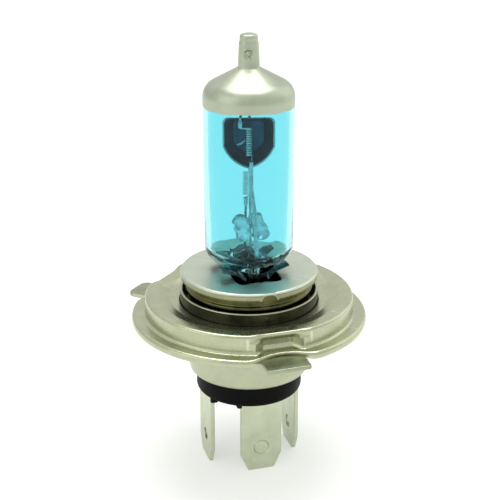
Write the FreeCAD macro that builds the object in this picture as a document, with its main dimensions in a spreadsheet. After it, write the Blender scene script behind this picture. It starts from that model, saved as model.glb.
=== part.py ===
import FreeCAD, Part
import math
import os
import Sketcher

# A two-filament halogen headlamp bulb: tinted burner on a three-lug metal cap with three blades.
# Millimetres, +Z towards the glass. The origin is on the bulb's axis in the seating plane, which
# is the glass side of the three lugs. The wide reference lug points along -Y.

doc = FreeCAD.newDocument("headlight_bulb")
sheet = doc.addObject("Spreadsheet::Sheet", "Sizes")
V = FreeCAD.Vector


# ---------------------------------------------------------------- driving dimensions

class Size:
    """A length that carries both its number and the spreadsheet formula it comes from."""

    def __init__(self, value, text):
        self.value = value
        self.text = text

    def _with(self, other, sign, number):
        right = other.text if isinstance(other, Size) else repr(float(other))
        return Size(number, "(" + self.text + " " + sign + " " + right + ")")

    def __add__(self, other):
        return self._with(other, "+", self.value + number_of(other))

    def __sub__(self, other):
        return self._with(other, "-", self.value - number_of(other))

    def __mul__(self, other):
        return self._with(other, "*", self.value * number_of(other))

    def __truediv__(self, other):
        return self._with(other, "/", self.value / number_of(other))

    def __neg__(self):
        return Size(-self.value, "(0 - " + self.text + ")")


def number_of(size):
    return size.value if isinstance(size, Size) else float(size)


ZERO = Size(0.0, "0")

DIMENSIONS = [
    # burner glass
    ("glass_radius", 8.0, "outside radius of the glass tube"),
    ("glass_wall", 1.0, "wall of the glass tube"),
    ("dome_start", 40.9, "height where the tube starts to close"),
    ("dome_turn", 3.15, "radius of the dome's shoulder"),
    ("dome_edge", 6.55, "distance from the axis where the shoulder meets the dome's cone"),
    ("dome_edge_height", 43.55, "height of that edge"),
    ("dome_top", 45.75, "height of the dome at the foot of the exhaust tip"),
    ("tip_foot_radius", 2.0, "radius of the exhaust tip at its foot"),
    ("tip_radius", 1.55, "radius of the exhaust tip near its end"),
    ("tip_top", 51.45, "height of the end of the exhaust tip"),
    ("tip_round", 1.2, "rounding of the end of the exhaust tip"),
    ("bowl_start", 13.2, "height where the glass starts to close at the bottom"),
    ("bowl_turn", 5.0, "radius of the bowl at the bottom of the glass"),
    ("bowl_neck", 2.6, "distance from the axis where the bowl meets the press seal"),
    ("bowl_bottom", 10.0, "height of the bottom of the bowl"),
    ("seal_width", 11.4, "press seal along Y"),
    ("seal_thickness", 4.0, "press seal along X"),
    ("seal_bottom", -3.0, "height of the lower end of the press seal"),
    ("coat_thickness", 0.15, "silver coat on the dome"),
    ("coat_edge", 39.25, "height of the coat's lower edge"),
    # foils and wires
    ("foil_pitch", 3.4, "distance between foils along Y"),
    ("foil_width", 2.4, "foil along Y"),
    ("foil_thickness", 0.05, "foil along X"),
    ("foil_bottom", -1.5, "height of the foils' lower ends"),
    ("foil_top", 5.5, "height of the foils' upper ends"),
    ("foil_overlap", 1.2, "length of wire that lies on each foil"),
    ("wire_radius", 0.25, "radius of the thin inner wires"),
    ("common_radius", 0.38, "radius of the wire that carries the shield"),
    ("outer_wire_radius", 0.35, "radius of the wires below the seal"),
    ("seal_gap", 0.01, "gap between the glass and the metal in the seal"),
    ("wire_bend", 1.2, "bend radius of the wires"),
    ("wire_rise", 1.6, "straight run of the outer two wires above the glass floor"),
    ("post_lean", 1.2, "how far the shield's wire leans in above the bridge"),
    ("post_lean_height", 3.6, "height of that lean above the bridge"),
    ("post_turn", 0.4, "how far the shield's wire still stands out where it turns upright"),
    ("post_turn_height", 7.6, "height of that turn above the bridge"),
    ("post_foot", 1.2, "how far below the shield's point its wire runs beside the axis"),
    ("post_hold", 1.4, "length of the shield's wire that lies on the shield"),
    ("low_wire_rise", 3.4, "height above the bridge where the dipped-beam wire leans back"),
    ("low_wire_place", 0.15, "place of the dipped-beam wire along X behind the shield"),
    ("low_wire_foot", 0.6, "how far below the shield's point that wire comes upright"),
    ("hook_height", 0.6, "clearance of the dipped-beam wire over the shield"),
    ("hook_place", -1.5, "place of that wire's hook along X"),
    ("hook_end", 0.3, "height of the hook's end above the coil"),
    ("high_wire_step", 0.3, "how far the main-beam wire leans along X above the bridge"),
    ("high_wire_lean", 1.4, "how far the main-beam wire leans in above the bridge"),
    ("high_wire_rise", 2.6, "height of that lean above the bridge"),
    ("high_wire_foot", 2.4, "length of the main-beam wire's upright end"),
    ("high_wire_end", 0.35, "distance of that end below the coil"),
    # filaments and shield
    ("low_coil_radius", 0.55, "mean radius of the dipped-beam coil"),
    ("low_coil_bottom", 30.0, "lower end of the dipped-beam coil"),
    ("low_coil_top", 35.0, "upper end of the dipped-beam coil"),
    ("low_coil_turns", 12, "turns of the dipped-beam coil"),
    ("high_coil_radius", 0.5, "mean radius of the main-beam coil"),
    ("high_coil_bottom", 22.8, "lower end of the main-beam coil"),
    ("high_coil_top", 27.2, "upper end of the main-beam coil"),
    ("high_coil_turns", 11, "turns of the main-beam coil"),
    ("high_coil_offset", -0.55, "place of the main-beam coil along X"),
    ("filament_radius", 0.11, "radius of the coiled wire"),
    ("crimp_radius", 0.42, "outside radius of the crimp sleeves"),
    ("crimp_length", 1.3, "length of a crimp sleeve"),
    ("shield_width", 9.0, "shield across its open edge"),
    ("shield_top", 37.0, "height of the shield's top edge"),
    ("shield_bend", 31.9, "height where the shield's sides start to close"),
    ("shield_tip", 27.9, "height of the shield's lower point"),
    ("shield_curve", 6.1, "radius of the shield's closing sides"),
    ("shield_front", -0.5, "place of the shield's open edge along Y"),
    ("shield_depth", 3.2, "depth of the shield"),
    ("shield_taper", 1.7, "how far the shield's floor lies inside its open edge"),
    ("shield_sheet", 0.25, "sheet of the shield"),
    ("shield_turn", -16.0, "turn of the shield and the filaments about the axis, in degrees"),
    # quartz bridge
    ("bridge_radius", 1.35, "radius of the two quartz rods"),
    ("bridge_length", 5.6, "length of each quartz rod"),
    ("bridge_height", 16.6, "height of the bridge's centre"),
    ("bridge_spread", 1.75, "distance of each rod from the wires' plane"),
    ("bridge_tilt", 24.0, "tilt of the rods, in degrees"),
    ("bridge_round", 0.8, "rounding of the rods' ends"),
    ("bridge_web_length", 5.3, "length of the quartz between the rods"),
    ("bridge_web_height", 1.75, "height of the quartz between the rods"),
    # disc, sleeve and clamp
    ("disc_overhang", 1.3, "how far the mounting disc stands out past the sleeve"),
    ("disc_top", 8.85, "height of the disc's upper face"),
    ("disc_rim_bottom", 7.6, "height of the disc rim's lower edge"),
    ("disc_round", 0.6, "rounding of the disc's rim"),
    ("notch_radius", 1.25, "radius of the arched notch in the disc's rim"),
    ("notch_height", 0.9, "height of that notch"),
    ("metal", 0.5, "sheet of the disc, the sleeve and the shell"),
    ("slot_length", 15.0, "slot in the disc along Y"),
    ("slot_width", 8.4, "slot in the disc along X"),
    ("sleeve_over", 0.1, "how much larger the sleeve is than the shell, in radius"),
    ("sleeve_bead", 0.35, "how far the sleeve's lower bead stands out"),
    ("sleeve_step", 5.3, "height of the sleeve's bead"),
    ("sleeve_bottom", -3.6, "height of the sleeve's lower edge"),
    ("clamp_sheet", 0.35, "sheet of the spring clamp"),
    ("clamp_top", 10.6, "height of the clamp's finger tips"),
    ("clamp_bottom", 0.0, "height of the clamp's lower edge"),
    ("clamp_reach", 4.4, "length of the clamp's bent fingers"),
    ("finger_width", 2.2, "width of the clamp's bent fingers"),
    # ring and lugs
    ("spigot_radius", 19.0, "radius of the ring's wall, which centres the bulb"),
    ("flange_width", 2.5, "how far the ring's rolled flange stands out from its wall"),
    ("ring_sheet", 0.6, "sheet of the ring"),
    ("ring_top", 4.05, "height of the ring's shoulder"),
    ("ring_shoulder", 1.1, "rounding of the ring's shoulder"),
    ("ring_dish", 1.1, "how much lower the ring is at its inner edge"),
    ("flange_roll", 1.2, "radius of the flange's rolled edge"),
    ("flange_skirt", 0.1, "straight end of the rolled edge"),
    ("recess_width", 7.4, "width of the pressed recess above each lug"),
    ("recess_depth", 2.1, "depth of the pressed recess"),
    ("cheek_angle", 27.0, "angle that the metal behind each recess spans, in degrees"),
    ("bite_radius", 8.0, "radius of the hollow in the flange at each lug"),
    ("bite_depth", 2.9, "depth of that hollow"),
    ("lug_reach", 2.3, "how far the reference lug stands out past the flange"),
    ("side_lug_reach", 3.3, "how far the side lugs stand out past the flange"),
    ("side_lug_angle", 135.0, "turn from the reference lug to each side lug, in degrees"),
    ("reference_lug_width", 7.8, "width of the reference lug"),
    ("side_lug_width", 6.2, "width of the other two lugs"),
    ("lug_round", 1.4, "corner radius of the two side lugs"),
    ("reference_lug_round", 0.4, "corner radius of the reference lug"),
    ("lug_sheet", 0.7, "sheet of the lug plate"),
    ("lug_root", 0.5, "how far the lugs' raised faces reach in over the plate"),
    ("fit_gap", 0.05, "clearance between pieces that slide together"),
    ("cut_margin", 1.0, "how far a cut runs past the metal it opens"),
    # shell
    ("shell_radius", 11.1, "outside radius of the shell"),
    ("shell_bottom", -10.5, "height of the shell's lower edge"),
    ("shell_round", 0.7, "rounding of the shell's lower edge"),
    ("collar_flare", 1.5, "how far the shell's collar flares out"),
    ("collar_top", 5.2, "height of the collar's edge"),
    ("flare_bottom", 0.2, "height where the shell starts to flare"),
    ("flare_height", 1.4, "height of the flare"),
    # insulator and terminals
    ("shell_lip", 1.3, "how far the insulator lies inside the shell, in radius"),
    ("insulator_bottom", -14.75, "height of the insulator's lower face"),
    ("insulator_top", -6.0, "height of the insulator's upper face"),
    ("insulator_round", 0.9, "rounding of the insulator's lower edge"),
    ("insulator_hollow", 1.6, "depth of the hollow in the insulator's lower face"),
    ("hollow_radius", 4.6, "radius of that hollow"),
    ("hollow_slope", 1.0, "how much narrower the hollow is at its floor, in radius"),
    ("blade_width", 7.8, "width of a terminal blade"),
    ("blade_thickness", 0.8, "thickness of a terminal blade"),
    ("blade_bottom", -28.75, "height of the blades' lower ends"),
    ("blade_top", -4.0, "height of the blades' upper ends"),
    ("blade_chamfer", 3.1, "height of the blades' chamfered corners"),
    ("blade_chamfer_in", 1.4, "width of the blades' chamfered corners"),
    ("blade_shoulder", 0.9, "how much narrower a blade is inside the insulator, each side"),
    ("blade_sunk", 2.0, "length of a blade's full width inside the insulator"),
    ("front_blade_inset", 2.2, "how far the front blade's middle lies inside the insulator's edge"),
    ("side_blade_inset", 1.6, "how far the side blades' middles lie inside that edge"),
    ("detent_radius", 1.2, "radius of the detent holes"),
    ("detent_rise", 4.55, "height of the detent holes above the blades' lower ends"),
    ("dimple_depth", 0.35, "depth of the front blade's dimple"),
    ("weld_radius", 0.55, "radius of the terminal welds"),
    ("weld_lap", 1.6, "length of outer wire that lies beside each blade"),
    ("outer_wire_drop", 0.7, "how far below the seal the outer wires turn sideways"),
    ("outer_wire_step", 0.9, "how much lower the middle one of them turns"),
]

size = {}
for row, (name, value, meaning) in enumerate(DIMENSIONS, start=1):
    sheet.set("A" + str(row), name)
    sheet.set("B" + str(row), str(value))
    sheet.set("C" + str(row), meaning)
    sheet.setAlias("B" + str(row), name)
    size[name] = Size(float(value), "Sizes." + name)


def derive(name, length, meaning):
    """Adds a size that follows from others to the sheet."""
    row = str(len(size) + 1)
    sheet.set("A" + row, name)
    sheet.set("B" + row, "=" + length.text.replace("Sizes.", ""))
    sheet.set("C" + row, meaning)
    sheet.setAlias("B" + row, name)
    size[name] = Size(length.value, "Sizes." + name)


derive("flange_radius", size["spigot_radius"] + size["flange_width"],
       "outside radius of the ring's rolled flange")
derive("lug_tip", size["flange_radius"] + size["lug_reach"],
       "distance of the reference lug's end from the axis")
derive("side_lug_tip", size["flange_radius"] + size["side_lug_reach"],
       "distance of the side lugs' ends from the axis")
derive("collar_radius", size["shell_radius"] + size["collar_flare"], "outside radius of the shell's collar")
derive("sleeve_radius", size["shell_radius"] + size["sleeve_over"],
       "outside radius of the sleeve under the disc")
derive("disc_radius", size["sleeve_radius"] + size["disc_overhang"], "radius of the mounting disc")
derive("insulator_radius", size["shell_radius"] - size["shell_lip"], "radius of the insulator below the shell")
derive("front_blade_place", size["front_blade_inset"] - size["insulator_radius"],
       "middle of the front blade along Y")
derive("side_blade_place", size["insulator_radius"] - size["side_blade_inset"],
       "middle of the side blades along X")
derive("detent_height", size["blade_bottom"] + size["detent_rise"], "height of the detent holes")
doc.recompute()


# ---------------------------------------------------------------- modelling helpers

def plane_of(body, role):
    return next(f for f in body.Origin.OriginFeatures if f.Role == role)


def new_body(label):
    body = doc.addObject("PartDesign::Body", label)
    body.Label = label
    return body


class Arc:
    """A circular stretch between two outline points; bend is +1 where the edge turns left."""

    def __init__(self, radius, bend):
        self.radius = radius
        self.bend = bend


def arc_geometry(start, end, radius, bend):
    chord = end - start
    half = chord.Length / 2.0
    rise = math.sqrt(max(radius * radius - half * half, 0.0))
    side = V(-chord.y, chord.x, 0).normalize()
    centre = (start + end) / 2.0 + side * rise * bend
    first = math.atan2(start.y - centre.y, start.x - centre.x)
    last = math.atan2(end.y - centre.y, end.x - centre.x)
    circle = Part.Circle(centre, V(0, 0, 1), radius)
    return Part.ArcOfCircle(circle, first, last) if bend > 0 else Part.ArcOfCircle(circle, last, first)


def bind_point(sketch, geometry, end, place):
    """Ties one end of a sketch line or arc to two formulas."""
    axis_of = {"DistanceX": -2, "DistanceY": -1}
    for kind, length in zip(("DistanceX", "DistanceY"), place):
        if length is ZERO:
            sketch.addConstraint(Sketcher.Constraint("PointOnObject", geometry, end, axis_of[kind]))
            continue
        index = sketch.addConstraint(Sketcher.Constraint(kind, -1, 1, geometry, end, length.value))
        sketch.setExpression("Constraints[" + str(index) + "]", length.text)


def add_outline(sketch, outline):
    """Adds a closed outline of points, with an Arc between two points where the edge is round."""
    points = [item for item in outline if not isinstance(item, Arc)]
    arcs = {}
    for place, item in enumerate(outline):
        if isinstance(item, Arc):
            arcs[sum(1 for before in outline[:place] if not isinstance(before, Arc)) - 1] = item
    edges = []
    for index, point in enumerate(points):
        following = points[(index + 1) % len(points)]
        start = V(point[0].value, point[1].value, 0)
        end = V(following[0].value, following[1].value, 0)
        if index in arcs:
            arc = arcs[index]
            geometry = sketch.addGeometry(arc_geometry(start, end, arc.radius.value, arc.bend), False)
            ends = (1, 2) if arc.bend > 0 else (2, 1)
        else:
            geometry = sketch.addGeometry(Part.LineSegment(start, end), False)
            ends = (1, 2)
        edges.append((geometry, ends))
    for index, point in enumerate(points):
        geometry, ends = edges[index]
        before, before_ends = edges[index - 1]
        sketch.addConstraint(Sketcher.Constraint("Coincident", before, before_ends[1], geometry, ends[0]))
        bind_point(sketch, geometry, ends[0], point)
    for index, arc in arcs.items():
        number = sketch.addConstraint(
            Sketcher.Constraint("Radius", edges[index][0], arc.radius.value))
        sketch.setExpression("Constraints[" + str(number) + "]", arc.radius.text)


def add_circle(sketch, across, up, radius):
    geometry = sketch.addGeometry(Part.Circle(V(across.value, up.value, 0), V(0, 0, 1), radius.value))
    bind_point(sketch, geometry, 3, (across, up))
    number = sketch.addConstraint(Sketcher.Constraint("Radius", geometry, radius.value))
    sketch.setExpression("Constraints[" + str(number) + "]", radius.text)


def new_sketch(body, name, role, offset=ZERO):
    sketch = body.newObject("Sketcher::SketchObject", name)
    sketch.AttachmentSupport = [(plane_of(body, role), "")]
    sketch.MapMode = "FlatFace"
    sketch.AttachmentOffset = FreeCAD.Placement(V(0, 0, offset.value), FreeCAD.Rotation())
    if offset is not ZERO:
        sketch.setExpression("AttachmentOffset.Base.z", offset.text)
    return sketch


def box_outline(left, low, right, high):
    return [(left, low), (right, low), (right, high), (left, high)]


def revolve(body, name, outline, role="XZ_Plane", cut=False, angle=360.0, both_ways=False):
    sketch = new_sketch(body, name + "_outline", role)
    add_outline(sketch, outline)
    kind = "PartDesign::Groove" if cut else "PartDesign::Revolution"
    feature = body.newObject(kind, name)
    feature.Profile = sketch
    feature.ReferenceAxis = (sketch, ["V_Axis"])
    feature.Angle = angle
    feature.Midplane = both_ways
    doc.recompute()
    return feature


def pad(body, name, outlines, length, role="XY_Plane", offset=ZERO, circles=(), reverse=False):
    sketch = new_sketch(body, name + "_outline", role, offset)
    for outline in outlines:
        add_outline(sketch, outline)
    for circle in circles:
        add_circle(sketch, *circle)
    feature = body.newObject("PartDesign::Pad", name)
    feature.Profile = sketch
    feature.Length = length.value
    feature.setExpression("Length", length.text)
    feature.Reversed = reverse
    doc.recompute()
    return feature


def pocket(body, name, outlines, length, role="XY_Plane", offset=ZERO, circles=(), reverse=False):
    sketch = new_sketch(body, name + "_outline", role, offset)
    for outline in outlines:
        add_outline(sketch, outline)
    for circle in circles:
        add_circle(sketch, *circle)
    before = body.Shape.Volume
    feature = body.newObject("PartDesign::Pocket", name)
    feature.Profile = sketch
    feature.Length = length.value
    feature.setExpression("Length", length.text)
    feature.Reversed = reverse
    doc.recompute()
    if body.Shape.Volume >= before - 1e-6:
        raise RuntimeError(name + " cuts nothing")
    return feature


def repeat_at_side_lugs(body, name, features):
    """Repeats features drawn towards the reference lug at the two side lugs."""
    axis = next(f for f in body.Origin.OriginFeatures if f.Role == "Z_Axis")
    for side, backwards in (("right", False), ("left", True)):
        pattern = body.newObject("PartDesign::PolarPattern", name + "_" + side)
        pattern.Originals = features
        pattern.Axis = (axis, [""])
        pattern.Angle = size["side_lug_angle"].value
        pattern.setExpression("Angle", size["side_lug_angle"].text + " * 1 deg")
        pattern.Occurrences = 2
        pattern.Reversed = backwards
        body.Tip = pattern
        doc.recompute()


def shape_part(label, shape):
    """A sub-part whose shape is worked out from the sheet in this file."""
    part = doc.addObject("Part::Feature", label)
    part.Label = label
    part.Shape = shape
    return part


def numbers(points):
    return [V(*[number_of(x) for x in point]) for point in points]


def bent_wire_path(points, bend):
    """Straight runs joined by tangent arcs."""
    edges = []
    start = points[0]
    for before, corner, after in zip(points, points[1:], points[2:]):
        into = (corner - before).normalize()
        out = (after - corner).normalize()
        turn = into.getAngle(out)
        room = 0.45 * min((corner - before).Length, (after - corner).Length)
        trim = min(bend * math.tan(turn / 2.0), room)
        radius = trim / math.tan(turn / 2.0)
        first = corner - into * trim
        last = corner + out * trim
        inward = (out - into).normalize()
        middle = corner + inward * (radius / math.cos(turn / 2.0) - radius)
        edges.append(Part.LineSegment(start, first).toShape())
        edges.append(Part.Arc(first, middle, last).toShape())
        start = last
    edges.append(Part.LineSegment(start, points[-1]).toShape())
    return Part.Wire(edges)


def bent_wire(points, radius, bend):
    """A round wire along straight runs and tangent arcs."""
    path = bent_wire_path(numbers(points), number_of(bend))
    direction = path.Edges[0].tangentAt(path.Edges[0].FirstParameter)
    profile = Part.Wire(Part.Circle(path.Edges[0].Vertexes[0].Point, direction, number_of(radius)).toShape())
    return path.makePipeShell([profile], True, True)


def coil_solid(centre_x, centre_y, bottom, top, turns, radius, wire_radius):
    """A helical wire with its axis along Z."""
    pitch = (top - bottom) / turns
    helix = Part.makeHelix(pitch, top - bottom, radius)
    helix.translate(V(centre_x, centre_y, bottom))
    start = helix.Edges[0].valueAt(helix.Edges[0].FirstParameter)
    direction = helix.Edges[0].tangentAt(helix.Edges[0].FirstParameter)
    profile = Part.Wire(Part.Circle(start, direction, wire_radius).toShape())
    return Part.Wire(helix.Edges).makePipeShell([profile], True, True)


def straight_rod(start, end, radius):
    start, end = numbers([start, end])
    return Part.makeCylinder(number_of(radius), (end - start).Length, start, end - start)


# ---------------------------------------------------------------- burner glass

def lead_places():
    """Where the three wires stand in the seal: their Y, and the X beside the foils."""
    beside = size["foil_thickness"] / 2
    return {
        "common": (beside + size["common_radius"], -size["foil_pitch"], size["common_radius"]),
        "low_beam": (beside + size["wire_radius"], ZERO, size["wire_radius"]),
        "high_beam": (beside + size["wire_radius"], size["foil_pitch"], size["wire_radius"]),
    }


def glass_outline(inset):
    """Half section of the glass, drawn in by inset; it closes on the axis."""
    radius = size["glass_radius"] - inset
    return [
        (ZERO, size["bowl_bottom"] + inset),
        (size["bowl_neck"], size["bowl_bottom"] + inset),
        Arc(size["bowl_turn"], 1),
        (radius, size["bowl_start"] + inset / 2),
        (radius, size["dome_start"]),
        Arc(size["dome_turn"] - inset / 4, 1),
        (size["dome_edge"] - inset, size["dome_edge_height"] - inset / 2),
        (size["tip_foot_radius"], size["dome_top"] - inset),
    ]


def make_glass_envelope():
    body = new_body("glass_envelope")
    outside = glass_outline(ZERO) + [
        (size["tip_radius"], size["tip_top"] - size["tip_round"]),
        Arc(size["tip_round"], 1),
        (size["tip_radius"] - size["tip_round"], size["tip_top"]),
        (ZERO, size["tip_top"]),
    ]
    revolve(body, "outside", outside)
    half_width = size["seal_width"] / 2
    half_thick = size["seal_thickness"] / 2
    pad(body, "press_seal", [box_outline(-half_thick, -half_width, half_thick, half_width)],
        size["bowl_bottom"] - size["seal_bottom"] + size["glass_wall"], offset=size["seal_bottom"])
    inside = glass_outline(size["glass_wall"]) + [(ZERO, size["dome_top"] - size["glass_wall"])]
    revolve(body, "gas_space", inside, cut=True)
    gap = size["seal_gap"]
    slots = []
    for step in (-1, 0, 1):
        middle = size["foil_pitch"] * step
        half_foil = size["foil_width"] / 2 + gap
        half_slot = size["foil_thickness"] / 2 + gap
        slots.append(box_outline(-half_slot, middle - half_foil, half_slot, middle + half_foil))
    pocket(body, "foil_slots", slots, size["foil_top"] - size["foil_bottom"] + gap * 2,
           offset=size["foil_bottom"] - gap, reverse=True)
    lead_holes = [(x, y, radius + gap) for x, y, radius in lead_places().values()]
    for number, hole in enumerate(lead_holes):
        pocket(body, "inner_wire_hole_" + str(number), [], size["bowl_bottom"] + size["glass_wall"] * 2,
               offset=size["foil_top"] - size["foil_overlap"] - gap, circles=[hole], reverse=True)
    outer_x = -size["foil_thickness"] / 2 - size["outer_wire_radius"]
    for step in (-1, 0, 1):
        hole = (outer_x, size["foil_pitch"] * step if step else ZERO, size["outer_wire_radius"] + gap)
        pocket(body, "outer_wire_hole_" + str(step + 1), [],
               size["foil_bottom"] - size["seal_bottom"] + size["foil_overlap"] + gap * 2,
               offset=size["seal_bottom"] - gap, circles=[hole], reverse=True)


def make_cap_coating():
    body = new_body("cap_coating")
    coat = size["coat_thickness"]
    radius = size["glass_radius"]
    tip_shoulder = size["tip_top"] - size["tip_round"]
    flat = size["tip_radius"] - size["tip_round"]
    outline = [
        (radius, size["coat_edge"]),
        (radius + coat, size["coat_edge"]),
        (radius + coat, size["dome_start"]),
        Arc(size["dome_turn"] + coat, 1),
        (size["dome_edge"] + coat / 2, size["dome_edge_height"] + coat),
        (size["tip_foot_radius"] + coat, size["dome_top"] + coat),
        (size["tip_radius"] + coat, tip_shoulder),
        Arc(size["tip_round"] + coat, 1),
        (flat, size["tip_top"] + coat),
        (ZERO, size["tip_top"] + coat),
        (ZERO, size["tip_top"]),
        (flat, size["tip_top"]),
        Arc(size["tip_round"], -1),
        (size["tip_radius"], tip_shoulder),
        (size["tip_foot_radius"], size["dome_top"]),
        (size["dome_edge"], size["dome_edge_height"]),
        Arc(size["dome_turn"], -1),
        (radius, size["dome_start"]),
    ]
    revolve(body, "coat", outline)


def make_foils():
    half_width = size["foil_width"] / 2
    half_thick = size["foil_thickness"] / 2
    for label, step in (("foil_common", -1), ("foil_low_beam", 0), ("foil_high_beam", 1)):
        body = new_body(label)
        middle = size["foil_pitch"] * step
        strip = box_outline(-half_thick, middle - half_width, half_thick, middle + half_width)
        pad(body, "strip", [strip], size["foil_top"] - size["foil_bottom"], offset=size["foil_bottom"])


# ---------------------------------------------------------------- shield, filaments and wires

def shield_outline(inset):
    """Front view of the shield: square top, straight sides, pointed foot."""
    half = size["shield_width"] / 2 - inset
    curve = size["shield_curve"] - inset / 2
    low = size["shield_tip"] + inset
    bend = size["shield_bend"]
    high = size["shield_top"] - inset
    return [(-half, bend), Arc(curve, 1), (ZERO, low), Arc(curve, 1), (half, bend), (half, high),
            (-half, high)]


def shield_loft(body, name, shrink, front, back, cut):
    """A pan-shaped solid between the shield's open edge and its floor."""
    kind = "PartDesign::SubtractiveLoft" if cut else "PartDesign::AdditiveLoft"
    edge = new_sketch(body, name + "_edge", "XZ_Plane", -front)
    add_outline(edge, shield_outline(shrink))
    floor = new_sketch(body, name + "_floor", "XZ_Plane", -back)
    add_outline(floor, shield_outline(size["shield_taper"] + shrink))
    loft = body.newObject(kind, name)
    loft.Profile = edge
    loft.Sections = [floor]
    doc.recompute()
    return loft


def make_glare_shield():
    body = new_body("glare_shield")
    front = size["shield_front"]
    back = size["shield_front"] + size["shield_depth"]
    shield_loft(body, "pan", ZERO, front, back, cut=False)
    shield_loft(body, "hollow", size["shield_sheet"], front, back - size["shield_sheet"], cut=True)
    body.Placement = FreeCAD.Placement(V(0, 0, 0), FreeCAD.Rotation(V(0, 0, 1), size["shield_turn"].value))
    body.setExpression("Placement.Rotation.Angle", size["shield_turn"].text + " * 1 deg")


def make_filament(label, centre_x, prefix, leg_ends):
    """A coil along Z with a straight leg from each end to the wire that carries it."""
    radius = size[prefix + "_coil_radius"].value
    wire = size["filament_radius"].value
    bottom = size[prefix + "_coil_bottom"].value
    top = size[prefix + "_coil_top"].value
    coil = coil_solid(centre_x, 0.0, bottom, top, size[prefix + "_coil_turns"].value, radius, wire)
    for height, leg_end in zip((bottom, top), leg_ends):
        coil = coil.fuse(straight_rod((centre_x + radius, 0.0, height), leg_end, wire))
    coil.rotate(V(0, 0, 0), V(0, 0, 1), size["shield_turn"].value)
    shape_part(label, coil)


def wire_tops():
    """Where each inner wire ends beside the shield, before the shield's turn."""
    common_x, _, _ = lead_places()["common"]
    return {
        "common_lead": (common_x, size["shield_front"] - size["common_radius"],
                        size["shield_tip"] + size["post_hold"]),
        "low_beam_lead": (size["hook_place"], size["shield_front"] - size["wire_radius"] - size["fit_gap"],
                          size["low_coil_top"] + size["hook_end"]),
        "high_beam_lead": (size["high_coil_offset"], -size["wire_radius"],
                           size["high_coil_bottom"] - size["high_wire_end"]),
    }


def make_filaments():
    """The coils' legs end on the wires: on their tops, or against the side of the common wire."""
    wire = size["filament_radius"].value
    common_top, low_end, high_end = numbers(wire_tops().values())
    reach = (size["common_radius"].value + wire) * math.sqrt(0.5)
    leg_height = size["high_coil_top"].value + size["hook_end"].value
    beside_common = V(common_top.x - reach, common_top.y + reach, leg_height)
    make_filament("low_beam_filament", 0.0, "low",
                  [common_top + V(0, 0, wire), low_end - V(0, 0, wire)])
    make_filament("high_beam_filament", size["high_coil_offset"].value, "high",
                  [high_end + V(0, 0, wire), beside_common])


def beside_shield(place, height=None):
    """A point turned about the axis with the shield, at its own height or another."""
    point = numbers([place])[0]
    if height is not None:
        point.z = number_of(height)
    angle = math.radians(size["shield_turn"].value)
    return (point.x * math.cos(angle) - point.y * math.sin(angle),
            point.x * math.sin(angle) + point.y * math.cos(angle), point.z)


def wire_routes():
    """The inner wires' routes, from the foils up to what they carry."""
    at = lead_places()
    tops = wire_tops()
    foot = size["foil_top"] - size["foil_overlap"]
    rise = size["bowl_bottom"] + size["glass_wall"] + size["wire_rise"]
    bridge = size["bridge_height"]
    back = size["shield_front"] + size["shield_depth"]
    over = size["shield_top"] + size["wire_radius"] + size["hook_height"]
    common_x, common_y, _ = at["common"]
    low_x, low_y, _ = at["low_beam"]
    high_x, high_y, _ = at["high_beam"]
    post = tops["common_lead"]
    post_turn = (post[0], post[1] - size["post_turn"], bridge + size["post_turn_height"])
    hook = tops["low_beam_lead"]
    behind = (size["low_wire_place"], back + size["wire_radius"] + size["fit_gap"], over)
    upright = tops["high_beam_lead"]
    return {
        "common_lead": [
            (common_x, common_y, foot), (common_x, common_y, rise),
            (common_x, common_y + size["post_lean"], bridge + size["post_lean_height"]),
            beside_shield(post_turn), beside_shield(post, size["shield_tip"] - size["post_foot"]),
            beside_shield(post)],
        "low_beam_lead": [
            (low_x, low_y, foot), (low_x, low_y, bridge + size["low_wire_rise"]),
            beside_shield(behind, size["shield_tip"] - size["low_wire_foot"]), beside_shield(behind),
            beside_shield(hook, over), beside_shield(hook)],
        "high_beam_lead": [
            (high_x, high_y, foot), (high_x, high_y, rise),
            (high_x - size["high_wire_step"], high_y - size["high_wire_lean"], bridge + size["high_wire_rise"]),
            beside_shield(upright, size["high_coil_bottom"] - size["high_wire_foot"]), beside_shield(upright)],
    }


def make_inner_leads():
    for label, route in wire_routes().items():
        radius = size["common_radius"] if label == "common_lead" else size["wire_radius"]
        shape_part(label, bent_wire(route, radius, size["wire_bend"]))


def ring_sleeve(bottom, inner, outer, length):
    """A short sleeve along Z around a wire."""
    outside = Part.makeCylinder(number_of(outer), number_of(length), bottom)
    inside = Part.makeCylinder(number_of(inner), number_of(length), bottom)
    return outside.cut(inside)


def make_filament_crimps():
    """Sleeves that clamp the coils' ends to the wires that end beside them."""
    routes = wire_routes()
    low_end = numbers([routes["low_beam_lead"][-1]])[0]
    high_end = numbers([routes["high_beam_lead"][-1]])[0]
    length = size["crimp_length"]
    sleeves = [
        ring_sleeve(low_end, size["wire_radius"], size["crimp_radius"], length),
        ring_sleeve(high_end - V(0, 0, length.value), size["wire_radius"], size["crimp_radius"], length),
    ]
    shape_part("filament_crimps", Part.makeCompound(sleeves))


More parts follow.
